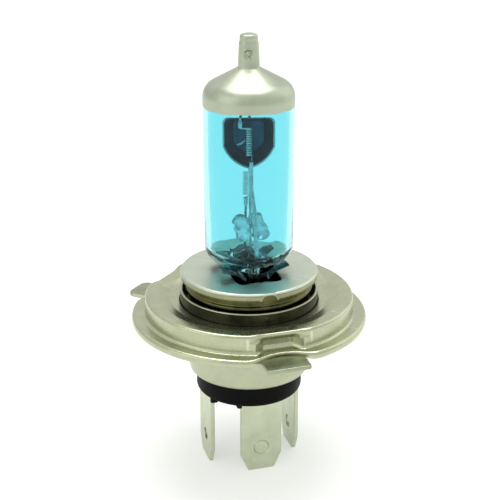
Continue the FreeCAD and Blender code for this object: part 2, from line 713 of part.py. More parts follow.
def make_quartz_bridge(wires):
    """Two quartz rods pressed together round the wires."""
    middle = V(number_of(size["wire_radius"]), 0, size["bridge_height"].value)
    half = size["bridge_length"].value / 2
    tilt = math.radians(size["bridge_tilt"].value)
    along = V(0, math.cos(tilt), math.sin(tilt))
    solids = []
    for side in (-1, 1):
        centre = middle + V(side * size["bridge_spread"].value, 0, 0)
        rod = Part.makeCylinder(size["bridge_radius"].value, half * 2, centre - along * half, along)
        ends = [edge for edge in rod.Edges if edge.Closed]
        solids.append(rod.makeFillet(size["bridge_round"].value, ends))
    spread = size["bridge_spread"].value
    web_length = size["bridge_web_length"].value
    web_height = size["bridge_web_height"].value
    web = Part.makeBox(spread * 2, web_length, web_height, V(-spread, -web_length / 2, -web_height / 2))
    web.rotate(V(0, 0, 0), V(1, 0, 0), size["bridge_tilt"].value)
    web.translate(middle)
    bridge = solids[0].multiFuse([solids[1], web])
    for wire in wires:
        bridge = bridge.cut(wire)
    shape_part("quartz_bridge", bridge.removeSplitter())


# ---------------------------------------------------------------- disc, sleeve and clamp

def make_mounting_disc():
    body = new_body("mounting_disc")
    radius = size["disc_radius"]
    top = size["disc_top"]
    turn = size["disc_round"]
    sheet_metal = size["metal"]
    outline = [
        (ZERO, top - sheet_metal),
        (radius - sheet_metal - turn / 2, top - sheet_metal),
        (radius - sheet_metal, top - sheet_metal - turn / 2),
        (radius - sheet_metal, size["disc_rim_bottom"]),
        (radius, size["disc_rim_bottom"]),
        (radius, top - turn),
        Arc(turn, 1),
        (radius - turn, top),
        (ZERO, top),
    ]
    revolve(body, "pressing", outline)
    half_width = size["slot_width"] / 2
    half_length = size["slot_length"] / 2
    pocket(body, "slot", [box_outline(-half_width, -half_length, half_width, half_length)],
           sheet_metal * 4, offset=top - sheet_metal * 2, reverse=True)
    notch_middle = size["disc_rim_bottom"] + size["notch_height"] - size["notch_radius"]
    pocket(body, "rim_notch", [], sheet_metal * 3, role="XZ_Plane", offset=radius + sheet_metal,
           circles=[(ZERO, notch_middle, size["notch_radius"])])


def make_burner_sleeve():
    body = new_body("burner_sleeve")
    sheet_metal = size["metal"]
    upper = size["sleeve_radius"]
    lower = size["shell_radius"] - sheet_metal - size["fit_gap"]
    top = size["disc_top"] - sheet_metal
    step = size["sleeve_step"]
    bead = size["sleeve_bead"]
    outline = [
        (upper - sheet_metal, top),
        (upper, top),
        (upper, step + bead * 2),
        (upper + bead, step + bead),
        (upper + bead, step),
        (lower, size["flare_bottom"] + size["metal"]),
        (lower, size["sleeve_bottom"]),
        (lower - sheet_metal, size["sleeve_bottom"]),
        (lower - sheet_metal, size["flare_bottom"] + size["metal"]),
        (upper - sheet_metal, step + bead),
    ]
    revolve(body, "skirt", outline)


def make_pinch_clamp():
    """A spring frame round the press seal, with fingers bent out over the disc."""
    thick = size["clamp_sheet"].value
    half_x = size["seal_thickness"].value / 2
    half_y = size["seal_width"].value / 2
    bottom = size["clamp_bottom"].value
    top = size["disc_top"].value
    outside = Part.makeBox((half_x + thick) * 2, (half_y + thick) * 2, top - bottom,
                           V(-half_x - thick, -half_y - thick, bottom))
    seal = Part.makeBox(half_x * 2, half_y * 2, top - bottom, V(-half_x, -half_y, bottom))
    clamp = outside.cut(seal)
    width = size["finger_width"].value
    rise = size["clamp_top"].value - top
    reach = size["clamp_reach"].value
    for side in (-1, 1):
        for place in (-1, 1):
            start_x = side * half_x
            start_y = place * (half_y - width)
            corners = [V(start_x, 0, top), V(start_x + side * reach, 0, top + rise),
                       V(start_x + side * reach, 0, top + rise - thick),
                       V(start_x + side * thick, 0, top - thick * 2), V(start_x, 0, top - thick * 2)]
            face = Part.Face(Part.makePolygon(corners + [corners[0]]))
            finger = face.extrude(V(0, width, 0))
            finger.translate(V(0, start_y - width / 2, 0))
            clamp = clamp.fuse(finger)
    bore = size["shell_radius"].value - size["metal"].value * 2 - size["fit_gap"].value
    arms = Part.makeCylinder(bore, thick, V(0, 0, bottom))
    band = Part.makeBox(bore * 2, width * 2, thick, V(-bore, -width, bottom))
    inside = Part.makeBox(half_x * 2, half_y * 2, thick, V(-half_x, -half_y, bottom))
    clamp = clamp.fuse(arms.common(band).cut(inside))
    shape_part("pinch_clamp", clamp.removeSplitter())


# ---------------------------------------------------------------- ring, lugs and shell

def ring_upper_line(start):
    """Upper side of the ring from its inner edge at start to the foot of its wall."""
    wall = size["spigot_radius"]
    turn = size["ring_shoulder"]
    return [
        (start, size["ring_top"] - size["ring_dish"]),
        (wall - turn, size["ring_top"]),
        Arc(turn, -1),
        (wall, size["ring_top"] - turn),
    ]


def make_prefocus_ring():
    body = new_body("prefocus_ring")
    thick = size["ring_sheet"]
    wall = size["spigot_radius"]
    turn = size["ring_shoulder"]
    bore = size["collar_radius"] + size["fit_gap"]
    edge = size["flange_radius"]
    roll = size["flange_roll"]
    low_top = size["ring_top"] - size["ring_dish"]
    outline = ring_upper_line(bore) + [
        (wall, thick),
        (edge - roll, thick),
        Arc(roll, -1),
        (edge, thick - roll),
        (edge, thick - roll - size["flange_skirt"]),
        (edge - thick, thick - roll - size["flange_skirt"]),
        (edge - thick, thick - roll),
        Arc(roll - thick, 1),
        (edge - roll, ZERO),
        (wall - thick, ZERO),
        (wall - thick, size["ring_top"] - turn),
        Arc(turn - thick, 1),
        (wall - turn, size["ring_top"] - thick),
        (bore, low_top - thick),
    ]
    revolve(body, "pressing", outline)
    pressed_in = wall - size["recess_depth"]
    sector = [
        (-(pressed_in - thick), ZERO),
        (-(pressed_in - thick), size["ring_top"] - size["ring_dish"]),
        (-(wall - turn), size["ring_top"]),
        Arc(turn, 1),
        (-wall, size["ring_top"] - turn),
        (-wall, ZERO),
    ]
    cheek_angle = size["cheek_angle"].value
    block = revolve(body, "recess_block", sector, role="YZ_Plane", angle=cheek_angle, both_ways=True)
    half = size["recess_width"] / 2
    beyond = size["cut_margin"]
    depth = size["ring_top"] - thick + beyond
    recess = pocket(body, "recess", [box_outline(-half, -(wall + beyond), half, -pressed_in)],
                    depth, offset=thick, reverse=True)
    place = edge - size["bite_depth"] + size["bite_radius"]
    bite = pocket(body, "bite", [], thick + roll + beyond * 2, offset=-(roll + beyond),
                  circles=[(ZERO, -place, size["bite_radius"])], reverse=True)
    repeat_at_side_lugs(body, "lug_place", [block, recess, bite])


def lug_outline(width, reach, corner, root):
    half = width / 2
    tip = -reach
    return [
        (-half, -root),
        (-half, tip + corner),
        Arc(corner, 1),
        (-half + corner, tip),
        (half - corner, tip),
        Arc(corner, 1),
        (half, tip + corner),
        (half, -root),
    ]


def make_lug_plate():
    body = new_body("lug_plate")
    outer = size["flange_radius"] - size["flange_roll"] - size["fit_gap"]
    inner = size["shell_radius"] + size["fit_gap"]
    thick = size["lug_sheet"]
    pad(body, "annulus", [], thick - size["fit_gap"], offset=-thick,
        circles=[(ZERO, ZERO, outer), (ZERO, ZERO, inner)])
    root = outer - size["lug_root"]
    wide = lug_outline(size["reference_lug_width"], size["lug_tip"], size["reference_lug_round"], root)
    narrow = lug_outline(size["side_lug_width"], size["side_lug_tip"], size["lug_round"], root)
    side_lug = pad(body, "side_lug", [narrow], thick, offset=-thick)
    repeat_at_side_lugs(body, "lug", [side_lug])
    beyond = size["side_lug_tip"] - size["lug_tip"] + size["fit_gap"]
    half = size["side_lug_width"] / 2 + size["fit_gap"]
    place = -size["lug_tip"]
    pocket(body, "reference_trim", [box_outline(-half, place - beyond, half, place)], thick * 2,
           offset=-thick * 1.5, reverse=True)
    pad(body, "reference_lug", [wide], thick, offset=-thick)


def make_base_shell():
    body = new_body("base_shell")
    radius = size["shell_radius"]
    metal = size["metal"]
    turn = size["shell_round"]
    collar = size["collar_radius"]
    low = size["flare_bottom"]
    high = low + size["flare_height"]
    outline = [
        (radius, low),
        (collar, high),
        (collar, size["collar_top"]),
        (collar - metal, size["collar_top"]),
        (collar - metal, high + metal / 2),
        (radius - metal, low + metal / 2),
        (radius - metal, size["shell_bottom"] + metal),
        (size["insulator_radius"] + size["fit_gap"], size["shell_bottom"] + metal),
        (size["insulator_radius"] + size["fit_gap"], size["shell_bottom"]),
        (radius - turn, size["shell_bottom"]),
        Arc(turn, 1),
        (radius, size["shell_bottom"] + turn),
    ]
    revolve(body, "can", outline)


# ---------------------------------------------------------------- insulator and terminals

def blade_boxes():
    """Middle of each blade in plan and the turn that faces it outwards."""
    front = size["front_blade_place"].value
    side = size["side_blade_place"].value
    return {
        "terminal_low_beam": (V(0, front, 0), 0.0),
        "terminal_ground": (V(-side, 0, 0), -90.0),
        "terminal_high_beam": (V(side, 0, 0), 90.0),
    }


def make_blade(label):
    """A blade drawn facing -Y, then turned and placed on its side of the insulator."""
    body = new_body(label)
    half = size["blade_width"] / 2
    narrow = half - size["blade_shoulder"]
    low = size["blade_bottom"]
    corner_in = size["blade_chamfer_in"]
    corner_up = size["blade_chamfer"]
    shoulder = size["insulator_bottom"] + size["blade_sunk"]
    outline = [
        (-half, low + corner_up), (-half + corner_in, low), (half - corner_in, low), (half, low + corner_up),
        (half, shoulder), (narrow, shoulder), (narrow, size["blade_top"]), (-narrow, size["blade_top"]),
        (-narrow, shoulder), (-half, shoulder),
    ]
    thick = size["blade_thickness"]
    pad(body, "blank", [outline], thick, role="XZ_Plane", offset=-thick / 2)
    if label == "terminal_low_beam":
        pocket(body, "dimple", [], size["dimple_depth"], role="XZ_Plane", offset=thick / 2,
               circles=[(ZERO, size["detent_height"], size["detent_radius"])])
    else:
        pocket(body, "detent_hole", [], thick * 2, role="XZ_Plane", offset=thick,
               circles=[(ZERO, size["detent_height"], size["detent_radius"])])
    place, turn = blade_boxes()[label]
    body.Placement = FreeCAD.Placement(place, FreeCAD.Rotation(V(0, 0, 1), turn))
    bind_blade_place(body, label)
    return body


def bind_blade_place(body, label):
    if label == "terminal_low_beam":
        body.setExpression("Placement.Base.y", size["front_blade_place"].text)
    elif label == "terminal_ground":
        body.setExpression("Placement.Base.x", (-size["side_blade_place"]).text)
    else:
        body.setExpression("Placement.Base.x", size["side_blade_place"].text)


def make_terminal_insulator():
    body = new_body("terminal_insulator")
    radius = size["insulator_radius"]
    low = size["insulator_bottom"]
    turn = size["insulator_round"]
    ledge = size["shell_bottom"] + size["metal"]
    inside = size["shell_radius"] - size["metal"] - size["fit_gap"]
    outline = [
        (ZERO, low + size["insulator_hollow"]),
        (size["hollow_radius"] - size["hollow_slope"], low + size["insulator_hollow"]),
        (size["hollow_radius"], low),
        (radius - turn, low),
        Arc(turn, 1),
        (radius, low + turn),
        (radius, ledge),
        (inside, ledge),
        (inside, size["insulator_top"]),
        (ZERO, size["insulator_top"]),
    ]
    revolve(body, "moulding", outline)
    gap = size["seal_gap"]
    thick = size["blade_thickness"] / 2 + gap
    wide = size["blade_width"] / 2 + gap
    narrow = wide - size["blade_shoulder"]
    front = size["front_blade_place"]
    side = size["side_blade_place"]
    beyond = size["cut_margin"]
    through = size["insulator_top"] - low + beyond * 2
    upper = [
        box_outline(-narrow, front - thick, narrow, front + thick),
        box_outline(-side - thick, -narrow, -side + thick, narrow),
        box_outline(side - thick, -narrow, side + thick, narrow),
    ]
    pocket(body, "blade_slots", upper, through, offset=low - beyond, reverse=True)
    lower = [
        box_outline(-wide, front - thick, wide, front + thick),
        box_outline(-side - thick, -wide, -side + thick, wide),
        box_outline(side - thick, -wide, side + thick, wide),
    ]
    pocket(body, "blade_pockets", lower, size["blade_sunk"] + beyond + gap, offset=low - beyond, reverse=True)


def outer_routes():
    """Routes from the foils down to the inner faces of the blades."""
    radius = size["outer_wire_radius"]
    x = -size["foil_thickness"] / 2 - radius
    top = size["foil_bottom"] + size["foil_overlap"]
    below = size["seal_bottom"] - size["outer_wire_drop"]
    lower = below - size["outer_wire_step"]
    end = size["blade_top"] - size["weld_lap"]
    inner_face = size["blade_thickness"] / 2 + radius
    pitch = size["foil_pitch"]
    front = size["front_blade_place"] + inner_face
    side = size["side_blade_place"] - inner_face
    return {
        "outer_lead_common": [(x, -pitch, top), (x, -pitch, below), (-side, -pitch / 2, below),
                              (-side, -pitch / 2, end)],
        "outer_lead_low_beam": [(x, ZERO, top), (x, ZERO, lower), (ZERO, front, lower), (ZERO, front, end)],
        "outer_lead_high_beam": [(x, pitch, top), (x, pitch, below), (side, pitch / 2, below),
                                 (side, pitch / 2, end)],
    }


def make_outer_leads():
    radius = size["outer_wire_radius"]
    for label, route in outer_routes().items():
        shape_part(label, bent_wire(route, radius, size["wire_bend"] / 2))


def make_terminal_welds():
    """A nugget between the end of each outer wire and its blade."""
    nuggets = []
    for label, route in outer_routes().items():
        end = numbers([route[-1]])[0] + V(0, 0, size["weld_radius"].value)
        outward = V(0, -1, 0) if label == "outer_lead_low_beam" else V(math.copysign(1.0, end.x), 0, 0)
        nugget = Part.makeCylinder(size["weld_radius"].value, size["outer_wire_radius"].value, end, outward)
        beside_wire = nugget.cut(doc.getObject(label).Shape).Solids
        nuggets.append(max(beside_wire, key=lambda piece: piece.Volume))
    shape_part("terminal_welds", Part.makeCompound(nuggets))


# ---------------------------------------------------------------- the assembly

def check_and_write():
    parts = [obj for obj in doc.Objects
             if obj.TypeId in ("PartDesign::Body", "Part::Feature")]
    for obj in doc.Objects:
        if "Invalid" in obj.State or "Error" in obj.State:
            raise RuntimeError(obj.Label + " failed: " + str(obj.State))
    os.makedirs("parts", exist_ok=True)
    for part in parts:
        if part.Shape.isNull() or not part.Shape.isValid():
            raise RuntimeError(part.Label + " has no valid shape")
        part.Shape.exportStep("parts/" + part.Label + ".step")
        print(part.Label, len(part.Shape.Solids), round(part.Shape.Volume, 2))


make_glass_envelope()
make_cap_coating()
make_foils()
make_glare_shield()
make_filaments()
make_inner_leads()
make_filament_crimps()
inner_wires = [doc.getObject(label).Shape for label in wire_routes()]
make_quartz_bridge(inner_wires)
make_mounting_disc()
make_burner_sleeve()
make_pinch_clamp()
make_prefocus_ring()
make_lug_plate()
make_base_shell()
for blade_label in blade_boxes():
    make_blade(blade_label)
make_terminal_insulator()
make_outer_leads()
make_terminal_welds()
doc.recompute()
check_and_write()
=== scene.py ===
import math

import bmesh
import bpy
import numpy as np
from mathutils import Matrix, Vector


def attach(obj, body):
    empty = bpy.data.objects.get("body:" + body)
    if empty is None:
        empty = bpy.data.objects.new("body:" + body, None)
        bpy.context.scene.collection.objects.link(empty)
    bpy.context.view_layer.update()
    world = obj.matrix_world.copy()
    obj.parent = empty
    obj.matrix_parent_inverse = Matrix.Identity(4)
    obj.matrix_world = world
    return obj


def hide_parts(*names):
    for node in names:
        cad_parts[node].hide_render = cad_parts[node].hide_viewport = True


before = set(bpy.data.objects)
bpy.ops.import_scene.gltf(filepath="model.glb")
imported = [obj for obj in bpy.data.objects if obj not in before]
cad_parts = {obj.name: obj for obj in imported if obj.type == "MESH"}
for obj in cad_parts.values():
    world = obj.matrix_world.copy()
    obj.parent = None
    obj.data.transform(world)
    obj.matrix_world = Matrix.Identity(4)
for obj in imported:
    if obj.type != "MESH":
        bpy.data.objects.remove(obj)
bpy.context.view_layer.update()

# Looks of a two-filament halogen headlamp bulb. Sizes below are in millimetres until MM scales them.
# The axis is +Z towards the glass tip, the lugs' glass side is z = 0, and the wide lug points to -Y.

MM = 0.001


# ---------------------------------------------------------------- shapes: (points, faces)

def smooth_step(low, high, value):
    """0 at low and 1 at high, easing at both; low may be the larger."""
    t = np.clip((value - low) / (high - low), 0.0, 1.0)
    return t * t * (3.0 - 2.0 * t)


def rounded_path(corners, closed=True, steps=6):
    """Corners (place, radius) turned into straight runs joined by tangent arcs."""
    places = [np.array(c[0], float) for c in corners]
    points = []
    for i, (place, radius) in enumerate(corners):
        here = places[i]
        at_end = not closed and i in (0, len(corners) - 1)
        if radius <= 0 or at_end:
            points.append(here)
            continue
        before = places[i - 1] - here
        after = places[(i + 1) % len(places)] - here
        reach = 0.49 * min(np.linalg.norm(before), np.linalg.norm(after))
        before = before / np.linalg.norm(before)
        after = after / np.linalg.norm(after)
        opening = math.acos(max(-1.0, min(1.0, float(before @ after))))
        if opening > math.pi - 0.01:
            points.extend([here] * (steps + 1))
            continue
        trim = min(radius / math.tan(opening / 2), reach)
        arc = trim * math.tan(opening / 2)
        middle = (before + after) / np.linalg.norm(before + after)
        centre = here + middle * arc / math.sin(opening / 2)
        u = here + before * trim - centre
        v = here + after * trim - centre
        sweep = math.pi - opening
        for k in range(steps + 1):
            t = k / steps
            swung = u * math.sin((1 - t) * sweep) + v * math.sin(t * sweep)
            points.append(centre + swung / math.sin(sweep))
    return np.array(points)


def grid_shape(grid, wrap_rows=True, wrap_columns=True):
    """Quads over an array of points, rows by columns."""
    rows, columns = grid.shape[:2]
    faces = []
    for i in range(rows if wrap_rows else rows - 1):
        below = i * columns
        above = ((i + 1) % rows) * columns
        for j in range(columns if wrap_columns else columns - 1):
            k = (j + 1) % columns
            faces.append((below + j, below + k, above + k, above + j))
    return grid.reshape(-1, 3), faces


def swung_to(section, angle):
    """A section drawn as (radius, height), swung to one angle about the axis."""
    radius, height = section[:, 0], section[:, 1]
    return np.column_stack([radius * math.cos(angle), radius * math.sin(angle), height])


def spin(profile, count=192, closed=True, shape_of=None):
    """A profile of (radius, height) points turned about Z; shape_of(points, angles) may change it."""
    angles = np.linspace(0.0, 2.0 * math.pi, count, endpoint=False)
    profile = np.asarray(profile, float)
    radius = np.repeat(profile[None, :, 0], count, 0)
    height = np.repeat(profile[None, :, 1], count, 0)
    turn = np.repeat(angles[:, None], profile.shape[0], 1)
    if shape_of is not None:
        radius, height = shape_of(radius, height, turn)
    grid = np.stack([radius * np.cos(turn), radius * np.sin(turn), height], -1)
    return grid_shape(grid, True, closed)


def merged(shapes):
    points, faces, start = [], [], 0
    for shape_points, shape_faces in shapes:
        points.append(np.asarray(shape_points, float))
        faces.extend(tuple(v + start for v in face) for face in shape_faces)
        start += len(shape_points)
    return np.concatenate(points), faces


def oriented(shape, outward=True):
    """The same closed shape with every face turned outward, or inward."""
    points, faces = shape
    points = np.asarray(points, float)
    volume = 0.0
    for face in faces:
        first = points[face[0]]
        for p, q in zip(face[1:], face[2:]):
            volume += float(np.dot(first, np.cross(points[p], points[q])))
    if (volume > 0) == outward:
        return points, faces
    return points, [tuple(reversed(face)) for face in faces]


def moved(shape, turn=0.0, shift=(0.0, 0.0, 0.0)):
    """A shape turned about Z by degrees, then shifted."""
    points, faces = shape
    a = math.radians(turn)
    spun = np.array([[math.cos(a), -math.sin(a), 0], [math.sin(a), math.cos(a), 0], [0, 0, 1]])
    return np.asarray(points) @ spun.T + np.array(shift), faces


def tube(path, radius, around=14, ends=True):
    """A round wire along a path; radius is one number or one for each point."""
    path = np.asarray(path, float)
    radius = np.broadcast_to(np.asarray(radius, float), (len(path),)).copy()
    if ends:
        first = (path[0] - path[1]) / np.linalg.norm(path[0] - path[1])
        last = (path[-1] - path[-2]) / np.linalg.norm(path[-1] - path[-2])
        caps = [(0.0, 0.0), (0.0, 0.75), (-0.3, 1.0)]
        head = np.array([path[0] + first * step * radius[0] for step, _ in caps])
        tail = np.array([path[-1] + last * step * radius[-1] for step, _ in caps])[::-1]
        head_radius = np.array([share * radius[0] for _, share in caps])
        tail_radius = np.array([share * radius[-1] for _, share in caps])[::-1]
        path = np.concatenate([head, path[1:-1], tail])
        radius = np.concatenate([head_radius, radius[1:-1], tail_radius])
    tangents = np.gradient(path, axis=0)
    if ends:
        tangents[:3] = -first
        tangents[-3:] = last
    tangents /= np.linalg.norm(tangents, axis=1)[:, None]
    side = np.cross(tangents[0], (0.31, 0.84, 0.44))
    side /= np.linalg.norm(side)
    angles = np.linspace(0.0, 2.0 * math.pi, around, endpoint=False)
    rows = []
    for place, tangent, r in zip(path, tangents, radius):
        side = side - tangent * (side @ tangent)
        side /= np.linalg.norm(side)
        other = np.cross(tangent, side)
        rows.append(place + r * (np.cos(angles)[:, None] * side + np.sin(angles)[:, None] * other))
    return grid_shape(np.array(rows), False, True)


def offset_loop(loop, distance):
    """A closed 2-D loop moved to its left by distance."""
    ahead = np.roll(loop, -1, 0) - loop
    behind = loop - np.roll(loop, 1, 0)
    ahead /= np.maximum(np.linalg.norm(ahead, axis=1), 1e-9)[:, None]
    behind /= np.maximum(np.linalg.norm(behind, axis=1), 1e-9)[:, None]
    along = ahead + behind
    along /= np.maximum(np.linalg.norm(along, axis=1), 1e-9)[:, None]
    normal = np.stack([-along[:, 1], along[:, 0]], -1)
    stretch = 1.0 / np.maximum(np.sum(along * ahead, axis=1), 0.6)
    return loop + normal * (distance * stretch)[:, None]


def plate(outer, inner, low, high, edge, inner_edge=None, rings=4, steps=4):
    """A flat plate between two loops of equally many points, with rounded edges.

    Both loops run anticlockwise; an inner loop of None closes the plate at its middle."""
    rows = []
    inner_edge = edge if inner_edge is None else inner_edge
    solid = inner is None
    if solid:
        inner = np.repeat(outer.mean(0)[None], len(outer), 0)
        inner_edge = 0.0
    inner_flat = inner if solid else offset_loop(inner, -inner_edge)
    outer_flat = offset_loop(outer, edge)

    def level(loop, z):
        rows.append(np.column_stack([loop, np.full(len(loop), z)]))

    for k in range(rings + 1):
        level(inner_flat + (outer_flat - inner_flat) * k / rings, high)
    for k in range(1, steps):
        a = math.pi / 2 * k / steps
        level(offset_loop(outer, edge * (1 - math.sin(a))), high - edge * (1 - math.cos(a)))
    level(outer, high - edge)
    level(outer, low + edge)
    for k in range(1, steps):
        a = math.pi / 2 * k / steps
        level(offset_loop(outer, edge * (1 - math.cos(a))), low + edge * (1 - math.sin(a)))
    for k in range(rings + 1):
        level(outer_flat + (inner_flat - outer_flat) * k / rings, low)
    if not solid:
        for k in range(1, steps):
            a = math.pi / 2 * k / steps
            level(offset_loop(inner, -inner_edge * (1 - math.sin(a))), low + inner_edge * (1 - math.cos(a)))
        level(inner, low + inner_edge)
        level(inner, high - inner_edge)
        for k in range(1, steps):
            a = math.pi / 2 * k / steps
            level(offset_loop(inner, -inner_edge * (1 - math.cos(a))), high - inner_edge * (1 - math.sin(a)))
    return grid_shape(np.array(rows), not solid, True)


def ray_loop(corners, centre, angles):
    """Points where rays from centre at the given angles leave a convex outline."""
    centre = np.array(centre, float)
    loop = np.asarray(corners, float)
    points = []
    for a in angles:
        ray = np.array([math.cos(a), math.sin(a)])
        best = None
        for p, q in zip(loop, np.roll(loop, -1, 0)):
            edge = q - p
            cross = ray[0] * edge[1] - ray[1] * edge[0]
            if abs(cross) < 1e-12:
                continue
            to = p - centre
            t = (to[0] * edge[1] - to[1] * edge[0]) / cross
            s = (to[0] * ray[1] - to[1] * ray[0]) / cross
            if t > 0 and -1e-9 <= s <= 1 + 1e-9 and (best is None or t > best):
                best = t
        points.append(centre + ray * best)
    return np.array(points)


def build(name, shape, materials, nodes=(), recalculate=True, sharp=35.0, material_of=None):
    """Makes a mesh object, hides the CAD nodes it stands for and hangs it under the root body."""
    points, faces = shape
    mesh = bpy.data.meshes.new(name)
    mesh.from_pydata((np.asarray(points) * MM).tolist(), [], faces)
    work = bmesh.new()
    work.from_mesh(mesh)
    bmesh.ops.remove_doubles(work, verts=work.verts, dist=2e-7)
    bmesh.ops.dissolve_degenerate(work, dist=1e-7, edges=work.edges)
    if recalculate:
        bmesh.ops.recalc_face_normals(work, faces=work.faces)
    work.to_mesh(mesh)
    work.free()
    for polygon in mesh.polygons:
        polygon.use_smooth = True
    mesh.set_sharp_from_angle(angle=math.radians(sharp))
    for material in materials:
        mesh.materials.append(material)
    if material_of is not None:
        for polygon in mesh.polygons:
            polygon.material_index = material_of(np.array(polygon.center) / MM, np.array(polygon.normal))
    piece = bpy.data.objects.new(name, mesh)
    bpy.context.scene.collection.objects.link(piece)
    if nodes:
        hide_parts(*nodes)
    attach(piece, "root")
    return piece


# ---------------------------------------------------------------- materials

class Nodes:
    """Short calls for building one material's nodes."""

    def __init__(self, name):
        self.material = bpy.data.materials.new(name)
        self.material.use_nodes = True
        self.tree = self.material.node_tree
        self.shader = next(n for n in self.tree.nodes if n.type == "BSDF_PRINCIPLED")
        self.place = self.tree.nodes.new("ShaderNodeTexCoord").outputs["Object"]

    def link(self, source, target):
        self.tree.links.new(source, target)

    def stretched(self, scale):
        node = self.tree.nodes.new("ShaderNodeMapping")
        node.inputs["Scale"].default_value = scale
        self.link(self.place, node.inputs["Vector"])
        return node.outputs["Vector"]

    def noise(self, scale, detail=4.0, roughness=0.55, stretch=None, distortion=0.0):
        node = self.tree.nodes.new("ShaderNodeTexNoise")
        node.inputs["Scale"].default_value = scale
        node.inputs["Detail"].default_value = detail
        node.inputs["Roughness"].default_value = roughness
        node.inputs["Distortion"].default_value = distortion
        self.link(self.stretched(stretch) if stretch else self.place, node.inputs["Vector"])
        return node.outputs["Fac"]

    def spread(self, source, low, high, start=0.3, end=0.7):
        node = self.tree.nodes.new("ShaderNodeMapRange")
        node.inputs["From Min"].default_value = start
        node.inputs["From Max"].default_value = end
        node.inputs["To Min"].default_value = low
        node.inputs["To Max"].default_value = high
        self.link(source, node.inputs["Value"])
        return node.outputs["Result"]

    def mix(self, factor, first, second, blend="MIX"):
        node = self.tree.nodes.new("ShaderNodeMix")
        node.data_type = "RGBA"
        node.blend_type = blend
        for socket, value in (("Factor", factor), ("A", first), ("B", second)):
            wanted = "VALUE" if socket == "Factor" else "RGBA"
            target = next(s for s in node.inputs if s.name == socket and s.type == wanted)
            if isinstance(value, (tuple, float)):
                target.default_value = value + (1.0,) if isinstance(value, tuple) else value
            else:
                self.link(value, target)
        return next(s for s in node.outputs if s.type == "RGBA")

    def math(self, operation, first, second):
        node = self.tree.nodes.new("ShaderNodeMath")
        node.operation = operation
        for socket, value in zip(node.inputs, (first, second)):
            if isinstance(value, float):
                socket.default_value = value
            else:
                self.link(value, socket)
        return node.outputs[0]

    def bump(self, height, distance, strength=1.0, under=None):
        node = self.tree.nodes.new("ShaderNodeBump")
        node.inputs["Distance"].default_value = distance
        node.inputs["Strength"].default_value = strength
        self.link(height, node.inputs["Height"])
        if under is not None:
            self.link(under, node.inputs["Normal"])
        return node.outputs["Normal"]

    def edge_wear_and_highlight(self, start=0.52, end=0.60):
        node = self.tree.nodes.new("ShaderNodeNewGeometry")
        return self.spread(node.outputs["Pointiness"], 0.0, 1.0, start, end)

    def set(self, **values):
        names = {"metallic": "Metallic", "ior": "IOR", "transmission": "Transmission Weight",
                 "coat": "Coat Weight", "coat_roughness": "Coat Roughness", "aniso": "Anisotropic",
                 "specular": "Specular IOR Level", "sheen": "Sheen Weight"}
        for key, value in values.items():
            self.shader.inputs[names[key]].default_value = value

    def plug(self, colour=None, roughness=None, normal=None):
        for name, source in (("Base Color", colour), ("Roughness", roughness), ("Normal", normal)):
            if source is not None:
                self.link(source, self.shader.inputs[name])


def plated_metal(name, light, dark, rough, grain=(1.0, 1.0, 1.0), grain_scale=9000.0, grain_depth=3e-6,
                 blotch=350.0, edge=(0.82, 0.82, 0.70), edge_weight=0.35, aniso=0.0, speck_tone=0.45):
    """Plated sheet: cloudy tone, fine grain, sparse pits and brighter worn edges."""
    n = Nodes(name)
    n.set(metallic=1.0, aniso=aniso)
    cloud = n.noise(blotch, 4.0, 0.5, distortion=0.4)
    speck = n.noise(2600.0, 3.0, 0.7)
    base = n.mix(n.spread(cloud, 0.0, 1.0, 0.3, 0.7), dark, light)
    base = n.mix(n.spread(speck, 0.0, 0.5, 0.70, 0.80), base, tuple(c * speck_tone for c in dark))
    base = n.mix(n.math("MULTIPLY", n.edge_wear_and_highlight(0.54, 0.66), edge_weight), base, edge)
    grain_noise = n.noise(grain_scale, 3.0, 0.65, stretch=grain)
    tone = n.spread(n.noise(700.0, 3.0, 0.5), rough[0], rough[1])
    fine = n.spread(grain_noise, -0.02, 0.02)
    height = n.bump(grain_noise, grain_depth, 0.3)
    height = n.bump(cloud, 5e-6, 0.15, height)
    n.plug(base, n.math("ADD", tone, fine), height)
    return n.material


def tinted_glass_material():
    n = Nodes("tinted_glass_look")
    n.set(ior=1.27, transmission=1.0)
    cloud = n.noise(60.0, 3.0, 0.5, stretch=(1.0, 1.0, 0.25))
    colour = n.mix(n.spread(cloud, 0.0, 1.0, 0.3, 0.7), (0.385, 0.77, 0.835), (0.41, 0.79, 0.855))
    smear = n.noise(500.0, 4.0, 0.6, stretch=(1.0, 1.0, 0.3))
    n.plug(colour, n.spread(smear, 0.0, 0.035, 0.45, 0.8), n.bump(cloud, 2e-5, 0.12))
    return n.material


def clear_glass_material():
    n = Nodes("clear_quartz_look")
    n.set(ior=1.42, transmission=0.72)
    streak = n.noise(900.0, 4.0, 0.6, stretch=(1.0, 1.0, 0.35), distortion=1.2)
    colour = n.mix(n.spread(streak, 0.0, 1.0, 0.4, 0.65), (0.72, 0.86, 0.90), (0.98, 1.0, 1.0))
    n.plug(colour, n.spread(streak, 0.06, 0.22, 0.4, 0.8), n.bump(streak, 1.2e-4, 0.5))
    return n.material


def silver_coat_material():
    n = Nodes("silver_coat_look")
    n.set(metallic=0.93)
    cloud = n.noise(240.0, 5.0, 0.6, distortion=0.4)
    frost = n.noise(14000.0, 2.0, 0.6)
    speck = n.noise(3000.0, 2.0, 0.6)
    colour = n.mix(n.spread(cloud, 0.0, 1.0, 0.35, 0.65), (0.36, 0.40, 0.305), (0.42, 0.455, 0.355))
    colour = n.mix(n.spread(speck, 0.0, 0.25, 0.62, 0.8), colour, (0.42, 0.42, 0.38))
    rough = n.spread(cloud, 0.32, 0.42)
    n.plug(colour, rough, n.bump(frost, 5e-6, 0.5))
    return n.material


